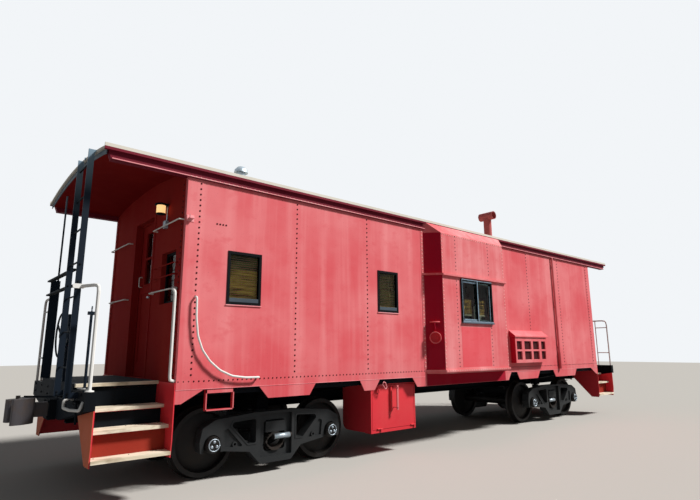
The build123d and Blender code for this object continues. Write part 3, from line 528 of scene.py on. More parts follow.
class Mould:
    """Gathers the points and faces of one piece and casts them as an object."""

    def __init__(self, boxes: Iterable[Box] = ()) -> None:
        """Starts a mould.

        Args:
            boxes: What it gets bars for at once.
        """
        self.points: list[Vector] = []
        self.faces: list[tuple[tuple[int, ...], bool]] = []
        for box in boxes:
            self.bar(*box)

    def bar(self, x: Span, y: Span, z: Span) -> None:
        """Adds a square-edged bar that fills a span along each axis, whichever end comes first."""
        (x0, x1), (y0, y1) = sorted(x), sorted(y)
        self.prism([(x0, y0), (x1, y0), (x1, y1), (x0, y1)], sorted(z))

    def prism(self, plan: list[Span | Vector], rise: Span) -> None:
        """Adds an upright prism on a plan that is drawn anticlockwise as x and y."""
        self.rings([[Vector((x, y, z)) for x, y in plan] for z in rise], False)

    def slab(self, outline: tuple[Span, ...], ends: Span) -> None:
        """Adds a plate that stands across the car, its outline given as y and z."""
        self.rings([[Vector((x, y, z)) for y, z in outline] for x in ends], False)

    def rings(self, rings: list[list[Vector]], smooth: bool = True) -> None:
        """Joins rings of points into a closed skin with flat ends.

        Args:
            rings: Rings of as many points each, from end to end.
            smooth: Whether the skin is shaded smooth.
        """
        first, count = len(self.points), len(rings[0])
        self.points += [point for ring in rings for point in ring]
        last = len(self.points) - count
        faces = [tuple(range(first + count - 1, first - 1, -1)), tuple(range(last, last + count))]
        for ring in range(first, last, count):
            for i in range(count):
                a, b = ring + i, ring + (i + 1) % count
                faces.append((a, b, b + count, a + count))
        self.faces += [(face, smooth) for face in faces]

    def turned_form(self, centre: Point, axis: Point, profile: list[Span], sides: Round) -> None:
        """Adds a form turned about an axis, like a rivet head or a cap.

        Args:
            centre: The point on the axis where the profile's run is 0.
            axis: The direction of the axis.
            profile: Run along the axis and radius of each ring, first to last.
            sides: How round it is.
        """
        across, up, along = Vector(axis).to_track_quat("Z", "Y").to_matrix().transposed()
        rings = [around(Vector(centre) + run * along, r, across, up, sides) for run, r in profile]
        self.rings(rings, sides is not Round.HEX)

    def rivet(self, centre: Point, axis: Point, radius: float = 12 * MM) -> None:
        """Adds one round rivet head that stands on a surface."""
        profile = [(0.0, radius), (0.35 * radius, 0.9 * radius), (0.62 * radius, 0.5 * radius)]
        self.turned_form(centre, axis, profile, Round.RIVET)

    def bolt(self, centre: Point, axis: Point, across: float) -> None:
        """Adds a bolt head: washer, six-sided head and a slight crown.

        Args:
            centre: The middle of its foot.
            axis: The way that it stands out.
            across: The head's width across its corners.
        """
        washer = [(0.0, 0.62 * across), (0.1 * across, 0.62 * across)]
        head = [(0.1 * across, 0.5 * across), (0.42 * across, 0.5 * across), (0.5 * across, 0.4 * across)]
        self.turned_form(centre, axis, washer, Round.TUBE)
        self.turned_form(centre, axis, head, Round.HEX)

    def tube(self, path: Iterable[Point], radius: float, bend: float = 0.0) -> None:
        """Adds a round tube along a path, its corners rounded to a bend radius.

        Args:
            path: The path's corners from end to end.
            radius: The tube's radius.
            bend: The radius of the bends at the path's inner corners.
        """
        line = rounded([Vector(point) for point in path], bend)
        rings, across = [], None
        for i, place in enumerate(line):
            along = (line[min(i + 1, len(line) - 1)] - line[max(i - 1, 0)]).normalized()
            across = along.orthogonal() if across is None else across - along * across.dot(along)
            across = across.normalized()
            rings.append(around(place, radius, across, along.cross(across), Round.TUBE))
        self.rings(rings)

    def hoop(self, centre: Point, axis: Point, radius: float, gauge: float) -> None:
        """Adds a hoop of round rod.

        Args:
            centre: Its centre.
            axis: The way that it faces.
            radius: The hoop's radius.
            gauge: The rod's radius.
        """
        across, up, _ = Vector(axis).to_track_quat("Z", "Y").to_matrix().transposed()
        path = around(Vector(centre), radius, across, up, Round.DISC)
        self.tube([*path, path[0]], gauge)

    def slats(self, ends: Span, rise: Span, y: float) -> None:
        """Hangs a blind of bamboo slats, each a little out of line.

        Args:
            ends: The x of the blind's two sides.
            rise: The height of its foot and its top.
            y: The plane that it hangs in.
        """
        pitch, fill, thick, sway, beat = 26 * MM, 0.74, 3 * MM, 3 * MM, 1.7
        for i, z in enumerate(spaced(*rise, pitch)):
            lean = y + sway * math.sin(beat * i)
            self.bar(ends, (lean, lean + thick), (z, z + fill * pitch))

    def repeat(self, x_sign: int, y_sign: int) -> None:
        """Adds a copy of everything so far on another side of the car.

        Args:
            x_sign: -1 for the other end and 1 for the same.
            y_sign: -1 for the other side and 1 for the same.
        """
        first, order = len(self.points), x_sign * y_sign
        self.faces += [(tuple(first + i for i in face[::order]), smooth) for face, smooth in self.faces]
        self.points += [Vector((x_sign * p.x, y_sign * p.y, p.z)) for p in self.points]

    def cast(self, name: str, finish: Finish, body: str = "carbody", bevel: float = 0.0) -> None:
        """Makes the object, gives it its finish and lets it ride on a body.

        Args:
            name: The piece's name.
            finish: What it is finished in.
            body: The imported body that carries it.
            bevel: The width of its worn edges, or 0 for none.
        """
        mesh = bpy.data.meshes.new(name)
        mesh.from_pydata(self.points, [], [face for face, smooth in self.faces])
        mesh.polygons.foreach_set("use_smooth", [smooth for face, smooth in self.faces])
        mesh.materials.append(finish.material())
        piece = placed(name, mesh)
        if bevel:
            worn = piece.modifiers.new("worn edges", "BEVEL")
            worn.width, worn.segments, worn.limit_method = bevel, 2, "ANGLE"
        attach(piece, body)
        log.info("%s: %d faces on %s", name, len(self.faces), body)

    def cast_pair(self, name: str, finish: Finish, bevel: float = 0.0) -> None:
        """Casts the piece on the car's body together with its half turn."""
        self.repeat(-1, -1)
        self.cast(name, finish, bevel=bevel)


def placed(name: str, data: bpy.types.ID) -> bpy.types.Object:
    """Puts a mesh, light or camera into the scene.

    Args:
        name: The object's name.
        data: What it shows.

    Returns:
        The object.
    """
    made = bpy.data.objects.new(name, data)
    bpy.context.scene.collection.objects.link(made)
    return made


def dress(finish: Finish, *nodes: str) -> None:
    """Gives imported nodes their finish.

    Args:
        finish: What they are finished in.
        *nodes: The nodes' names.
    """
    for node in nodes:
        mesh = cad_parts[node].data
        mesh.materials.clear()
        mesh.materials.append(finish.material())
    log.info("%s on %s", finish.name, ", ".join(nodes))


# Side walls


@dataclass
class SideWalls:
    """The flat sides: rivet rows at the panel joints, window sills and blinds."""

    face: float = -1.420
    skin: Span = (-1.424, -1.420)
    joints: tuple[float, ...] = (-3.660, -2.338, 2.320, 3.660)
    corner_joints: Span = (-5.089, 5.089)
    corner_plates: tuple[Span, Span] = ((-5.258, -5.062), (5.062, 5.258))
    plate_z: Span = (1.141, 3.640)
    column_z: Span = (1.300, 3.590)
    pitch: float = 0.070
    short_row: Span = (-4.856, -4.734)
    short_row_z: float = 3.118
    short_pitch: float = 0.040
    row_x: Span = (-5.235, 5.235)
    row_pitch: float = 0.062
    sill_z: float = 1.228
    ledge: Span = (-1.4545, 3.650)
    lip: Box = ((-6.139, 6.139), (-1.4555, -1.4525), (3.644, 3.656))
    bay_ends: Span = (-1.070, 1.330)
    laps: tuple[Span, Span] = ((-5.258, -1.070), (1.330, 5.258))
    lap_z: Span = (1.134, 1.141)
    bracket: tuple[Box, ...] = (
        ((-5.250, -5.160), (-1.430, -1.424), (3.090, 3.170)),
        ((-5.235, -5.175), (-1.484, -1.429), (3.120, 3.132)),
        ((-5.235, -5.225), (-1.484, -1.469), (3.130, 3.170)),
    )
    windows: tuple[tuple[float, ...], ...] = ((-4.690, -4.210, 2.130, 2.800), (-2.120, -1.670, 2.150, 2.806))
    bar: float = 0.035
    rail: float = 0.085
    rail_y: Span = (-1.428, -1.412)
    sill_reach: float = 0.010
    sill_drop: float = 0.012
    sill_y: Span = (-1.434, -1.420)
    blind_in: float = 0.038
    blind_y: float = -1.380
    blind_drop: float = 0.055
    shade_z: Span = (2.555, 2.262)
    step_y: Span = (-1.414, -1.412)
    step_fronts: Faces = (
        ((-4.890, -4.876), (0.885, 1.130)),
        ((-4.544, -4.530), (0.885, 1.130)),
        ((-4.890, -4.530), (0.885, 0.899)),
        ((-4.890, -4.530), (1.085, 1.130)),
    )
    grille_x: tuple[Span, ...] = ((1.560, 1.745), (1.840, 2.095), (2.165, 2.400), (2.490, 2.655))
    grille_z: tuple[Span, Span] = ((1.372, 1.535), (1.572, 1.735))
    grille_y: Span = (-1.504, -1.500)
    cheek: Box = ((1.507, 1.510), (-1.534, -1.424), (1.311, 1.814))
    hood: tuple[Span, ...] = ((-1.560, 1.815), (-1.424, 1.815), (-1.424, 1.949), (-1.560, 1.838))
    hood_x: Span = (1.4785, 1.480)

    def dress(self) -> None:
        """Paints the shell and glazes the windows."""
        dress(BODY_RED, "side_wall_left", "side_wall_right", "grille_boxes", "side_pipes")
        # The eave bands are painted shade
        dress(EAVE_SHADE_RED, "eave_bands")
        dress(FRAME_BLACK, "window_frames")
        dress(PANE_GLASS, "window_glass")

    def rivets(self) -> None:
        """Near-black rivets up the joints and along the sill, and pale ones on the ledge in painted
        highlight.
        """
        columns, rows = Mould(), Mould()
        for z in spaced(*self.column_z, self.pitch):
            for x in self.joints:
                columns.rivet((x, self.face, z), LEFT)
            for x in self.corner_joints:
                columns.rivet((x, self.skin[0], z), LEFT)
        for x in spaced(*self.short_row, self.short_pitch):
            columns.rivet((x, self.face, self.short_row_z), LEFT)
        for x in spaced(*self.row_x, self.row_pitch):
            if not self.bay_ends[0] < x < self.bay_ends[1]:
                columns.rivet((x, self.face, self.sill_z), LEFT, 10 * MM)
                rows.rivet((x, *self.ledge), LEFT, 8 * MM)
        columns.cast_pair("joint_rivets", NEAR_BLACK_AND_SHADE_RED)
        rows.cast_pair("ledge_rivets", PALE_RIVET_HIGHLIGHT)

    def plates(self) -> None:
        """Cover plates over the corner posts, and the marker bracket on the near one."""
        plates = Mould((x, self.skin, self.plate_z) for x in self.corner_plates)
        plates.cast_pair("corner_post_plates", BODY_RED, 2 * MM)
        # The marker bracket is painted highlight
        Mould(self.bracket).cast_pair("marker_brackets", TRIM_HIGHLIGHT_RED, 1.5 * MM)

    def trim(self) -> None:
        """The sheets' lapped edges, the ledge's lip and the sills in painted highlight, the rails, and the
        faded step fronts.
        """
        laps, rails = Mould((x, self.skin, self.lap_z) for x in self.laps), Mould()
        laps.bar(*self.lip)
        for x0, x1, z0, _ in self.windows:
            laps.bar((x0 - self.sill_reach, x1 + self.sill_reach), self.sill_y, (z0 - self.sill_drop, z0))
            rails.bar((x0 + self.bar, x1 - self.bar), self.rail_y, (z0 + self.bar, z0 + self.rail))
        laps.cast_pair("sheet_laps_and_window_sills", TRIM_HIGHLIGHT_RED, 1 * MM)
        rails.cast_pair("window_foot_rails", RAIL_GREY, 2 * MM)
        Mould((x, self.step_y, z) for x, z in self.step_fronts).cast_pair("sill_step_fronts", BODY_RED)

    def blinds(self) -> None:
        """Bamboo blinds close behind the glass, shaded at the top by the window's head."""
        sunny, shaded = Mould(), Mould()
        for (x0, x1, z0, z1), shade in zip(self.windows, self.shade_z):
            sides = (x0 + self.blind_in, x1 - self.blind_in)
            sunny.slats(sides, (z0 + self.rail, shade), self.blind_y)
            shaded.slats(sides, (shade, z1 - self.blind_drop), self.blind_y)
        sunny.cast_pair("bamboo_blinds", BLIND_BAMBOO)
        shaded.cast_pair("shaded_blinds", SHADED_BAMBOO)

    def grilles(self) -> None:
        """Near-black mesh behind the panes of the hooded boxes and a crimson cheek beside them, both painted
        shade.
        """
        # The mesh's near-black is painted shade for the deep recess behind each pane
        mesh = Mould((x, self.grille_y, z) for x in self.grille_x for z in self.grille_z)
        mesh.cast_pair("grille_mesh", NEAR_BLACK_AND_SHADE_RED)
        cheeks = Mould([self.cheek])
        cheeks.slab(self.hood, self.hood_x)
        cheeks.cast_pair("grille_cheeks", SHADE_CRIMSON)

    def build(self) -> None:
        """Builds and dresses the side walls."""
        self.dress()
        self.rivets()
        self.plates()
        self.trim()
        self.blinds()
        self.grilles()


# Bay


@dataclass
class Bay:
    """The bay: flange rivets, a pressed panel in the splay, and the sliding window."""

    front: float = -1.650
    wall: float = -1.420
    ends: Span = (-1.023, 1.275)
    run: float = 0.215
    joints: Span = (-0.427, 0.558)
    corners: Span = (-0.790, 1.042)
    column_z: Span = (1.292, 3.552)
    drip: Span = (2.80, 2.89)
    base: Span = (-1.676, 1.225)
    pitch: float = 0.066
    flange_width: float = 0.060
    flange_y: Span = (-1.426, -1.420)
    flange_z: Span = (1.262, 3.600)
    flange_rivets_x: Span = (-1.055, 1.307)
    flange_rivets_z: Span = (1.300, 3.590)
    splay_skins: tuple[tuple[float, ...], ...] = (
        (0.0, 3 * MM, 1.246, 2.826),
        (0.0, 3 * MM, 2.862, 3.575),
        (35 * MM, 9 * MM, 1.300, 1.610),
    )
    foot_skin: Box = ((-1.023, 1.275), (-1.422, -1.420), (0.990, 1.181))
    patch: Box = ((-0.345, 0.515), (-1.651, -1.650), (1.275, 1.960))
    cup_z: float = 1.769
    lip_out: float = 0.070
    lip_radius: float = 0.091
    strap_out: float = 0.034
    strap_rise: float = 0.261
    strap_half: float = 0.085
    feed_out: float = 0.030
    feed_rise: Span = (0.095, 0.250)
    sash_x: tuple[Span, Span] = ((-0.285, 0.160), (0.120, 0.565))
    sash_y: tuple[Span, Span] = ((-1.662, -1.652), (-1.640, -1.630))
    sash_z: Span = (2.075, 2.771)
    stile: float = 0.024
    rail: float = 0.027
    edge_y: Span = (-1.681, -1.678)
    edges: Faces = (
        ((-0.314, 0.594), (2.046, 2.068)),
        ((-0.314, 0.594), (2.790, 2.802)),
        ((-0.315, -0.306), (2.068, 2.790)),
        ((0.128, 0.152), (2.068, 2.790)),
        ((0.497, 0.509), (2.068, 2.726)),
    )
    sill: Box = ((-0.332, 0.612), (-1.691, -1.650), (2.026, 2.050))
    blind_x: tuple[Span, Span] = ((-0.290, 0.045), (0.215, 0.440))
    blind_y: float = -1.595
    blind_z: Span = (2.195, 2.440)
    blind_rail: tuple[Span, Span] = ((-1.599, -1.589), (2.165, 2.191))

    def dress(self) -> None:
        """Paints the bay and its mouldings."""
        dress(CHALKED_RED, "bay_left", "bay_right")
        dress(FRESH_RED, "bay_cups")
        dress(FRAME_BLACK, "bay_window_frames")

    def rivets(self) -> None:
        """Rivets up the corners and joints, along the top and along the base moulding."""
        dark, light = Mould(), Mould()
        for z in spaced(*self.column_z, self.pitch):
            if not self.drip[0] < z < self.drip[1]:
                for mould, columns in ((dark, self.joints), (light, self.corners)):
                    for x in columns:
                        mould.rivet((x, self.front, z), LEFT, 10 * MM)
        for x in spaced(*self.corners, self.pitch):
            light.rivet((x, self.front, self.column_z[1]), LEFT, 10 * MM)
            light.rivet((x, *self.base), LEFT, 10 * MM)
        for x in self.flange_rivets_x:
            for z in spaced(*self.flange_rivets_z, self.pitch):
                light.rivet((x, self.flange_y[0], z), LEFT, 11 * MM)
        dark.cast_pair("bay_joint_rivets", NEAR_BLACK_AND_SHADE_RED)
        # The pale heads on the corners, the top, the base and the flanges are painted highlight
        light.cast_pair("bay_flange_rivets", PALE_RIVET_HIGHLIGHT)

    def flanges(self) -> None:
        """The flanges that bolt the bay to the side wall."""
        feet = zip(self.ends, (-self.flange_width, self.flange_width))
        flanges = Mould(((x, x + out), self.flange_y, self.flange_z) for x, out in feet)
        flanges.cast_pair("bay_flanges", BODY_RED, 2 * MM)

    def splay(self) -> tuple[Vector, Vector, Vector, Vector]:
        """Lays out the near splay in plan.

        Returns:
            Its ends at the wall and at the corner, the way along it and the way out of it.
        """
        wall, corner = Vector((self.ends[0], self.wall)), Vector((self.ends[0] + self.run, self.front))
        along = (corner - wall).normalized()
        return wall, corner, along, Vector((along.y, -along.x))

    def skins(self) -> None:
        """The splay and the wall under the bay, skinned in crimson as painted shade, and its repainted
        patch.
        """
        skins = Mould([self.foot_skin])
        wall, corner, along, out = self.splay()
        for margin, thick, z0, z1 in self.splay_skins:
            foot, head = wall + along * margin, corner - along * margin
            skins.prism([foot, foot + out * thick, head + out * thick, head], (z0, z1))
        skins.cast_pair("bay_painted_shade_skins", SHADE_CRIMSON)
        Mould([self.patch]).cast_pair("repainted_patches", PATCH_RED)

    def cups(self) -> None:
        """Rolled lip of the marker cup, its hanger strap and the pipe that feeds it."""
        lips, pipe = Mould(), Mould()
        wall, corner, side, out = (plan.to_3d() for plan in self.splay())
        seat = (wall + corner) / 2 + self.cup_z * UP
        lips.hoop(seat + self.lip_out * out, out, self.lip_radius, 8 * MM)
        strap, half = seat + self.strap_out * out + self.strap_rise * UP, self.strap_half * side
        lips.tube([strap - half, strap + half], 9 * MM)
        lips.cast_pair("cup_lips", BODY_RED)
        pipe.tube([seat + self.feed_out * out + rise * UP for rise in self.feed_rise], 14 * MM)
        # The feed pipe takes the splay's painted shade
        pipe.cast_pair("cup_pipes", SHADE_CRIMSON)

    def sashes(self) -> None:
        """Sliding sashes, the bright edges of the frame, and a sill that stands out under it."""
        sashes = Mould((x, self.edge_y, z) for x, z in self.edges)
        low, high = self.sash_z
        for (left, right), depth in zip(self.sash_x, self.sash_y):
            for x in ((left, left + self.stile), (right - self.stile, right)):
                sashes.bar(x, depth, self.sash_z)
            for z in ((low, low + self.rail), (high - self.rail, high)):
                sashes.bar((left, right), depth, z)
        sashes.cast_pair("bay_window_sashes", SASH_ALUMINIUM, 1 * MM)
        Mould([self.sill]).cast_pair("bay_window_sills", SLATE_GREY, 2 * MM)

    def blinds(self) -> None:
        """A bamboo blind on a pale foot rail across the foot of each sash."""
        blind, rails = Mould(), Mould((x, *self.blind_rail) for x in self.blind_x)
        for ends in self.blind_x:
            blind.slats(ends, self.blind_z, self.blind_y)
        blind.cast_pair("bay_blinds", BLIND_BAMBOO)
        rails.cast_pair("bay_blind_rails", TREAD_PINE)

    def build(self) -> None:
        """Builds and dresses the bays."""
        self.dress()
        self.rivets()
        self.flanges()
        self.skins()
        self.cups()
        self.sashes()
        self.blinds()


# Roof


@dataclass
class Roof:
    """The roof: seam caps over the joints of its sheets, vent and stack."""

    radius: float = 8.112
    crown: float = 3.905
    half: float = 1.448
    seam_x: Span = (-6.140, 6.140)
    pitch: float = 1.240
    arch_pitch: float = 0.181
    rivets_half: float = 1.398
    rivet_pitch: float = 0.150
    cap_half: float = 0.030
    cap_thick: float = 0.009
    feet: tuple[Box, Box] = (
        ((-6.226, 6.226), (-1.4675, -1.466), (3.741, 3.772)),
        ((-6.226, 6.226), (-1.466, -1.430), (3.741, 3.743)),
    )

    def dress(self) -> None:
        """Coats the sheets and paints the trim."""
        dress(ROOF_COAT, "roof", "roof_edges")
        dress(SLATE_GREY, "roof_end_arches")
        # The porch ceilings are painted shade
        dress(CEILING_SHADE_RED, "porch_ceilings")
        dress(STACK_RED, "smoke_stack")
        dress(BRIGHT_STEEL, "roof_vent")

    def height(self, y: float) -> float:
        """Returns the height of the roof's top at a place across the car."""
        return self.crown - (self.radius - math.sqrt(self.radius**2 - y**2))

    def seams(self) -> None:
        """Arched caps over the sheet joints, each with its row of rivets."""
        caps, wide, thick, sunk = Mould(), self.cap_half, self.cap_thick, -2 * MM
        section = ((-wide, sunk), (-wide, thick), (wide, thick), (wide, sunk))
        for x in spaced(*self.seam_x, self.pitch):
            arch = [(y, self.height(y)) for y in spaced(-self.half, self.half, self.arch_pitch)]
            caps.rings([[Vector((x + s, y, z + up)) for s, up in section] for y, z in arch], False)
            for y in spaced(-self.rivets_half, self.rivets_half, self.rivet_pitch):
                caps.rivet((x, y, self.height(y) + thick), UP, 9 * MM)
        caps.cast("roof_seam_caps", ROOF_COAT)

    def edges(self) -> None:
        """The eave's painted shade, laid over the foot of the white edge and under it."""
        Mould(self.feet).cast_pair("roof_edge_feet", EAVE_SHADE_RED)

    def build(self) -> None:
        """Builds and dresses the roof."""
        self.dress()
        self.seams()
        self.edges()


# Ends and platforms


@dataclass
class CarEnd:
    """The end wall and the porch: corner posts, door trim, lamp and handles."""

    wall: float = -5.258
    front: float = -5.266
    angles: Faces = (
        ((-1.365, -1.295), (1.225, 3.640)),
        ((1.295, 1.365), (1.225, 3.640)),
        ((-0.415, -0.360), (1.225, 3.415)),
        ((0.360, 0.415), (1.225, 3.415)),
        ((-0.360, 0.360), (3.360, 3.415)),
    )
    post: float = 1.330
    post_z: Span = (1.30, 3.56)
    post_pitch: float = 0.07
    knobs_y: Span = (-0.385, -0.395)
    knobs_z: float = 2.26
    lamp: Point = (-5.353, -0.830, 3.392)
    lamp_foot: Point = (-5.353, -0.830, 3.276)
    lamp_arm: Box = ((-5.353, -5.258), (-0.847, -0.813), (3.398, 3.428))
    junction_box: Box = ((-5.303, -5.258), (-0.865, -0.795), (3.102, 3.202))
    feed: tuple[Point, Point] = ((-5.270, -0.830, 3.202), (-5.270, -0.830, 3.402))
    handle: tuple[Point, ...] = (
        (-5.165, 0.250, 2.460), (-5.210, 0.250, 2.460), (-5.210, 0.250, 2.600), (-5.165, 0.250, 2.600)
    )
    cross_bar: Box = ((-5.170, -5.149), (-0.160, 0.160), (2.835, 2.865))
    bead_x: Span = (-5.171, -5.165)
    beads: Faces = (
        ((-0.180, -0.160), (2.465, 3.240)),
        ((0.160, 0.180), (2.465, 3.240)),
        ((-0.160, 0.160), (2.465, 2.485)),
        ((-0.160, 0.160), (3.220, 3.240)),
    )

    def dress(self) -> None:
        """Paints the end walls, doors and lamps."""
        # Painted shade: the end walls, doors and window guards take the deep dark red
        dress(PAINTED_SHADE_RED, "end_wall_near", "end_wall_far", "near_door", "far_door", "window_guards")
        dress(PANE_GLASS, "near_door_glass", "far_door_glass")
        dress(LAMP_GLASS, "porch_lamps")

    def trim(self) -> None:
        """Angle irons at the corners and round the doorway, with their rivets."""
        trim, rivets = Mould(((self.front, self.wall), y, z) for y, z in self.angles), Mould()
        for y in (-self.post, self.post):
            for z in spaced(*self.post_z, self.post_pitch):
                rivets.rivet((self.front, y, z), NEAR)
        # The angles take the end wall's painted shade
        trim.cast_pair("end_wall_angles", PAINTED_SHADE_RED, 1.5 * MM)
        rivets.cast_pair("end_wall_rivets", NEAR_BLACK_AND_SHADE_RED)

    def hardware(self) -> None:
        """Knobs on the jamb, the cap, foot ring and arm of the lamp, and its junction box."""
        knobs, cap, box = Mould(), Mould([self.lamp_arm]), Mould([self.junction_box])
        knob = [(0, 0.010), (0.012, 0.010), (0.020, 0.017), (0.034, 0.012)]
        for y in self.knobs_y:
            knobs.turned_form((self.front, y, self.knobs_z), NEAR, knob, Round.TUBE)
        knobs.cast_pair("jamb_knobs", BRIGHT_STEEL)
        crown = [(0, 0.060), (0.002, 0.078), (0.020, 0.078), (0.036, 0.030), (0.044, 0.012)]
        ring = [(0, 0.040), (0.004, 0.059), (0.014, 0.059), (0.018, 0.040)]
        cap.turned_form(self.lamp, UP, crown, Round.DISC)
        cap.turned_form(self.lamp_foot, UP, ring, Round.DISC)
        cap.cast_pair("lamp_caps", BLACK_BLUE)
        box.tube(self.feed, 8 * MM)
        box.cast_pair("lamp_junction_boxes", BRIGHT_STEEL, 4 * MM)

    def door_trim(self) -> None:
        """Handle, cross bar and glazing beads on each door, riding with the leaf."""
        for end, sign in (("near", 1.0), ("far", -1.0)):
            handle, beads = Mould(), Mould([self.cross_bar, *((self.bead_x, *face) for face in self.beads)])
            handle.tube(self.handle, 8 * MM, 0.02)
            for mould in (handle, beads):
                mould.points = [Vector((sign * p.x, sign * p.y, p.z)) for p in mould.points]
            handle.cast(end + "_door_handle", HANDRAIL_WHITE, end + "_door")
            # The beads take the door's painted shade
            beads.cast(end + "_door_beads", PAINTED_SHADE_RED, end + "_door", 1 * MM)

    def build(self) -> None:
        """Builds and dresses both ends."""
        self.dress()
        self.trim()
        self.hardware()
        self.door_trim()


@dataclass
class Platform:
    """The open platform: deck, steps, ladder, railings and brake gear."""

    bolt_rows: tuple[tuple, ...] = (
        (-6.275, (-1.107, -0.627), (1.105, 1.135, 2.310, 2.500), LEFT, 20 * MM),
        (-6.170, (-1.25, -0.85, -0.45, 0.45, 0.85, 1.25), (1.045, 1.135), NEAR, 24 * MM),
        (-6.245, (-0.125, 0.125), (0.815, 0.990), NEAR, 26 * MM),
    )
    chain_top: Point = (-6.185, -0.335, 1.660)
    chain_foot: float = 1.240
    link: float = 0.046
    link_half: float = 0.011
    gauge: float = 4.5 * MM
    steps_x: Span = (-6.066, -5.274)
    risers: tuple[Point, ...] = ((-0.886, 0.975, 1.165), (-1.066, 0.770, 0.939), (-1.236, 0.500, 0.734))
    stringer_x: Span = (-6.084, -6.082)
    stringer: tuple[Span, ...] = (
        (-0.800, 0.877), (-1.420, 0.979), (-1.420, 0.600), (-1.400, 0.430), (-1.225, 0.430)
    )
    riser: float = 2.5 * MM
    screws_x: Span = (-6.016, -5.324)
    screw_pitch: float = 0.350
    screw_out: float = 0.060
    stirrup: tuple[Point, ...] = (
        (-6.170, -0.940, 1.070), (-6.262, -0.940, 1.070), (-6.262, -0.940, 0.985),
        (-6.262, -1.200, 0.985), (-6.200, -1.345, 0.985), (-6.170, -1.345, 1.070),
    )
    rail_foot: Point = (-6.130, -1.380, 1.165)
    stay: tuple[Point, Point] = ((-6.150, -1.365, 1.190), (-6.165, -1.050, 1.190))
    valve: tuple[Point, ...] = ((-6.145, -1.240, 1.985), (-6.145, -1.240, 2.020), (-6.165, -1.330, 2.030))

    def dress(self) -> None:
        """Paints the platform's steel and lays the treads."""
        dress(BLACK_BLUE, "platforms", "end_sills", "end_crossbars", "brake_wheels")
        # The ladders' pale tops are painted light
        dress(LADDER_PAINTED_LIGHT_BLUE, "end_uprights")
        dress(FRESH_RED, "step_wells")
        dress(TREAD_PINE, "step_treads")
        dress(HANDRAIL_WHITE, "handrails")
        dress(COUPLER_STEEL, "couplers")

    def stringers(self) -> None:
        """Primer on the outer face of the stringer plates, made paler as painted light."""
        skins = Mould()
        skins.slab(self.stringer, self.stringer_x)
        skins.repeat(1, -1)
        skins.cast_pair("stringer_faces", PRIMER_PAINTED_LIGHT)

    def end_fittings(self) -> None:
        """Stirrup under the ladder, the handrail's foot with its stay, and the valve handle."""
        fittings, handle = Mould(), Mould()
        fittings.tube(self.stirrup, 15 * MM, 0.030)
        flange = [(0, 0.044), (0.012, 0.044), (0.016, 0.030)]
        fittings.turned_form(self.rail_foot, UP, flange, Round.TUBE)
        fittings.tube(self.stay, 9 * MM)
        fittings.cast_pair("ladder_stirrups", HANDRAIL_WHITE)
        handle.tube(self.valve, 8 * MM, 0.020)
        handle.cast_pair("valve_handles", BRIGHT_STEEL)

    def bolts(self) -> None:
        """Bolts through the ladder rails, the end sill and the striker."""
        bolts = Mould()
        for x, across, heights, axis, size in self.bolt_rows:
            for y in across:
                for z in heights:
                    bolts.bolt((x, y, z), axis, size)
        bolts.cast_pair("platform_bolts", BLACK_BLUE)

    def brake_chain(self) -> None:
        """Chain from the brake gear down through the deck, link by link."""
        chain, step = Mould(), self.link - 2 * self.gauge
        rise = (self.link / 2 - self.link_half) * UP
        for i in range(int((self.chain_top[2] - self.chain_foot) / step)):
            across = self.link_half * (Vector((1, 0, 0)) if i % 2 else Vector((0, 1, 0)))
            centre = Vector(self.chain_top) - i * step * UP
            loop = (across - rise, across + rise, -across + rise, -across - rise, across - rise)
            chain.tube([centre + corner for corner in loop], self.gauge, 0.009)
        chain.cast_pair("brake_chain", BLACK_BLUE)

    def steps(self) -> None:
        """Painted riser plates behind the treads and the screws that hold the boards."""
        dark, low, screws = Mould(), Mould(), Mould()
        for plate, (y, z0, z1) in zip((dark, dark, low), self.risers):
            plate.bar(self.steps_x, (y - self.riser, y), (z0, z1))
            for x in spaced(*self.screws_x, self.screw_pitch):
                screws.rivet((x, y - self.screw_out, z0), UP, 7 * MM)
        for mould, name, finish in (
            (dark, "upper_risers", BLACK_BLUE),
            (low, "lower_risers", PRIMER_RED),
            (screws, "tread_screws", SPRING_STEEL),
        ):
            mould.repeat(1, -1)
            mould.cast_pair(name, finish)

    def build(self) -> None:
        """Builds and dresses both platforms."""
        self.dress()
        self.stringers()
        self.end_fittings()
        self.bolts()
        self.brake_chain()
        self.steps()


# Underframe


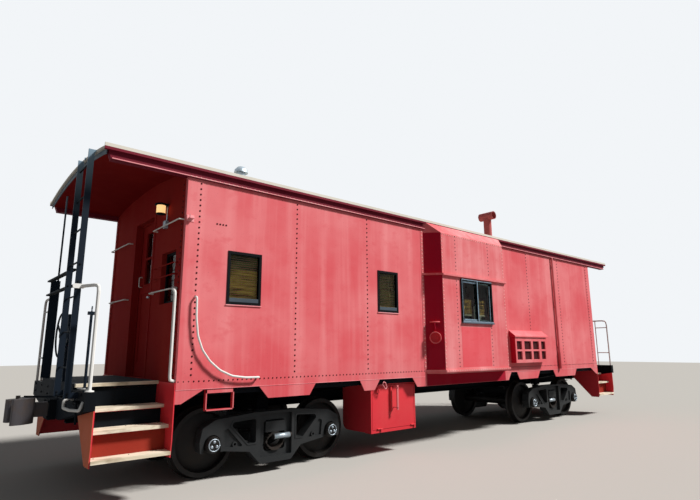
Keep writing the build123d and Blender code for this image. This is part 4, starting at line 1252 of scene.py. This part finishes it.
@dataclass
class Underframe:
    """Sills and cross members, the battery box and the air gear below the floor."""

    pipe: tuple[Point, Point] = ((-5.900, -0.300, 0.930), (5.900, -0.300, 0.930))
    drop: tuple[Point, ...] = ((-0.200, -0.300, 0.930), (-0.200, 0.500, 0.930), (-0.200, 0.600, 0.880))
    hangers: tuple[float, ...] = (-4.6, -1.9, 1.9, 4.6)
    hanger_half: float = 0.020
    hanger_y: Span = (-0.318, -0.282)
    hanger_z: Span = (0.930, 1.165)
    pull: Box = ((-1.714, -1.680), (-1.400, -1.384), (0.660, 1.030))
    stand_off_x: float = -1.697
    stand_off_y: Span = (-1.300, -1.392)
    stand_off_z: Span = (0.695, 0.995)
    eye: Point = (-1.983, -1.400, 1.037)
    eye_stem: tuple[Point, Point] = ((-2.018, -1.300, 1.047), (-2.018, -1.400, 1.047))
    eye_loop: tuple[Span, ...] = (
        (-0.045, 0.020), (-0.020, 0.058), (0.020, 0.040), (0.046, -0.024), (0.022, -0.058), (-0.045, 0.020)
    )

    def dress(self) -> None:
        """Paints the frame and the battery box."""
        dress(BLACK_BLUE, "centre_sill", "cross_members", "side_sills", "air_brake_gear")
        dress(FLOOR_PINE, "floor")
        dress(FRESH_RED, "battery_box", "battery_box_door")

    def train_pipe(self) -> None:
        """The air pipe along the frame and its drop to the reservoir."""
        half = self.hanger_half
        pipe = Mould(((x - half, x + half), self.hanger_y, self.hanger_z) for x in self.hangers)
        pipe.tube(self.pipe, 17 * MM)
        pipe.tube(self.drop, 13 * MM, 0.06)
        pipe.cast("train_air_pipe", BLACK_BLUE)

    def battery_fittings(self) -> None:
        """The drop door's pull bar on its stand-offs, and the eye above the door."""
        pull, eye = Mould([self.pull]), Mould()
        for z in self.stand_off_z:
            pull.tube([(self.stand_off_x, y, z) for y in self.stand_off_y], 7 * MM)
            pull.bolt((self.stand_off_x, self.pull[1][0], z), LEFT, 18 * MM)
        pull.cast("battery_door_pull", BODY_RED, "battery_door", 1.5 * MM)
        x, y, z = self.eye
        eye.tube([(x + across, y, z + up) for across, up in self.eye_loop], 8 * MM, 0.016)
        eye.tube(self.eye_stem, 8 * MM)
        # The eye is painted highlight
        eye.cast("battery_box_eye", TRIM_HIGHLIGHT_RED)

    def build(self) -> None:
        """Builds and dresses the underframe."""
        self.dress()
        self.train_pipe()
        self.battery_fittings()


# Trucks


@dataclass
class Truck:
    """One truck: castings, springs, wheels and the bolted bearing caps."""

    end: str
    centre: float
    way: float
    wheelbase: float = 1.830
    axle_z: float = 0.444
    cap_y: float = 1.130
    bolt_circle: float = 0.038
    lock_ring: float = 0.070
    sleeve_y: float = 1.057
    sleeve_x: Span = (-0.030, 0.215)

    def dress(self) -> None:
        """Finishes the truck's castings, springs and wheels."""
        dress(TRUCK_CASTING, self.end + "_truck_side_frames", self.end + "_truck_bolster")
        dress(SPRING_STEEL, self.end + "_truck_springs")
        for which in ("inner", "outer"):
            dress(WHEEL_STEEL, f"{self.end}_{which}_wheels", f"{self.end}_{which}_axle")

    def caps(self) -> None:
        """Bright locking ring and three bolts on each bearing cap, turning with its axle."""
        z, reach = self.axle_z, self.bolt_circle
        for which, sign in (("inner", self.way), ("outer", -self.way)):
            x, caps = self.centre + sign * self.wheelbase / 2, Mould()
            for side in (-1.0, 1.0):
                y, axis = side * self.cap_y, (0.0, side, 0.0)
                caps.hoop((x, y, z), axis, self.lock_ring, 6 * MM)
                for turn in (math.radians(90 + 120 * k) for k in range(3)):
                    caps.bolt((x + reach * math.cos(turn), y, z + reach * math.sin(turn)), axis, 30 * MM)
            caps.cast(f"{self.end}_{which}_bearing_caps", BRIGHT_STEEL, f"{self.end}_{which}_wheelset")

    def sleeves(self) -> None:
        """Plated sleeve over each snubber."""
        sleeves = Mould()
        low, high = sorted(self.centre + self.way * x for x in self.sleeve_x)
        for y in (-self.sleeve_y, self.sleeve_y):
            sleeves.tube([(low, y, self.axle_z), (high, y, self.axle_z)], 36 * MM)
        sleeves.cast(self.end + "_snubber_sleeves", BRIGHT_STEEL, self.end + "_truck")

    def build(self) -> None:
        """Builds and dresses the truck."""
        self.dress()
        self.caps()
        self.sleeves()


# Studio


@dataclass
class Studio:
    """Pale floor, soft light from the right front, and the camera."""

    floor_half: float = 60.0
    paper: str = "B4B2AE"
    paper_bounce: str = "8A8784"
    sky: str = "F2F5F8"
    sun_from: Point = (0.56, -0.56, 0.76)
    sun_colour: Point = (1.0, 0.97, 0.93)
    sun_strength: float = 5.25
    sun_angle_deg: float = 9.0
    fill: float = 0.18
    eye: Point = (-7.5395, -7.100, 1.576)
    yaw_deg: float = 40.51
    pitch_deg: float = 11.24
    roll_deg: float = -0.22
    focal_share: float = 502.28 / 700
    sensor_mm: float = 36.0
    reach: float = 200.0

    def looked_at(self, tree: Tree) -> Socket:
        """Tells the rays of the camera, of gloss and of glass from the light's own bounces.

        Args:
            tree: The node tree of the floor or the world.

        Returns:
            1 for a ray that is looked along and 0 for one that only carries light.
        """
        path = add(tree, "LightPath").outputs
        seen = path["Is Camera Ray"]
        for kind in ("Is Glossy Ray", "Is Transmission Ray"):
            seen = add(tree, "Math", {0: seen, 1: path[kind]}, operation="MAXIMUM").outputs[0]
        return seen

    def floor(self) -> None:
        """Lays pale paper under the flanges, which throws little light back up."""
        half = self.floor_half
        mesh = bpy.data.meshes.new("studio_floor")
        corners = [(-half, -half, 0), (half, -half, 0), (half, half, 0), (-half, half, 0)]
        mesh.from_pydata(corners, [], [(0, 1, 2, 3)])
        paper = bpy.data.materials.new("studio_paper")
        tree = emptied(paper)
        colour = lay_over(tree, linear(self.paper_bounce), self.paper, self.looked_at(tree), (0.0, 1.0), 1.0)
        shader = add(tree, "BsdfDiffuse", {"Color": colour})
        add(tree, "OutputMaterial", {"Surface": shader.outputs[0]})
        mesh.materials.append(paper)
        floor = placed("studio_floor", mesh)

    def light(self) -> None:
        """Sets a soft sun and a pale world that shows white behind the car."""
        lamp = bpy.data.lights.new("key", "SUN")
        lamp.energy, lamp.color = self.sun_strength, self.sun_colour
        lamp.angle = math.radians(self.sun_angle_deg)
        placed("key", lamp).rotation_euler = Vector(self.sun_from).to_track_quat("Z", "Y").to_euler()
        world = bpy.data.worlds.new("studio")
        bpy.context.scene.world = world
        tree = emptied(world)
        strength = add(tree, "MapRange", {"Value": self.looked_at(tree), "To Min": self.fill, "To Max": 1.0})
        sky = add(tree, "Background", {"Color": linear(self.sky), "Strength": strength.outputs[0]})
        add(tree, "OutputWorld", {"Surface": sky.outputs[0]})

    def camera(self) -> None:
        """Places the camera where the photograph was taken."""
        place = Matrix.Translation(self.eye)
        for turn, axis in ((-self.yaw_deg, "Z"), (90.0 + self.pitch_deg, "X"), (self.roll_deg, "Z")):
            place @= Matrix.Rotation(math.radians(turn), 4, axis)
        lens = bpy.data.cameras.new("camera")
        lens.sensor_width, lens.lens = self.sensor_mm, self.focal_share * self.sensor_mm
        lens.clip_end = self.reach
        bpy.context.scene.camera = placed("camera", lens)
        bpy.context.scene.camera.matrix_world = place

    def build(self) -> None:
        """Sets up the floor, the light and the camera."""
        self.floor()
        self.light()
        self.camera()
        bpy.context.scene.view_settings.view_transform = "Standard"


def main() -> None:
    """Builds each sub-assembly in order, from the walls outwards."""
    logging.basicConfig(level=logging.INFO, format="%(message)s")
    Studio().build()
    trucks = [Truck("near", -3.700, 1.0), Truck("far", 3.700, -1.0)]
    for assembly in [SideWalls(), Bay(), Roof(), CarEnd(), Platform(), Underframe(), *trucks]:
        assembly.build()
        log.info("built %s", type(assembly).__name__)


if __name__ == "__main__":
    main()
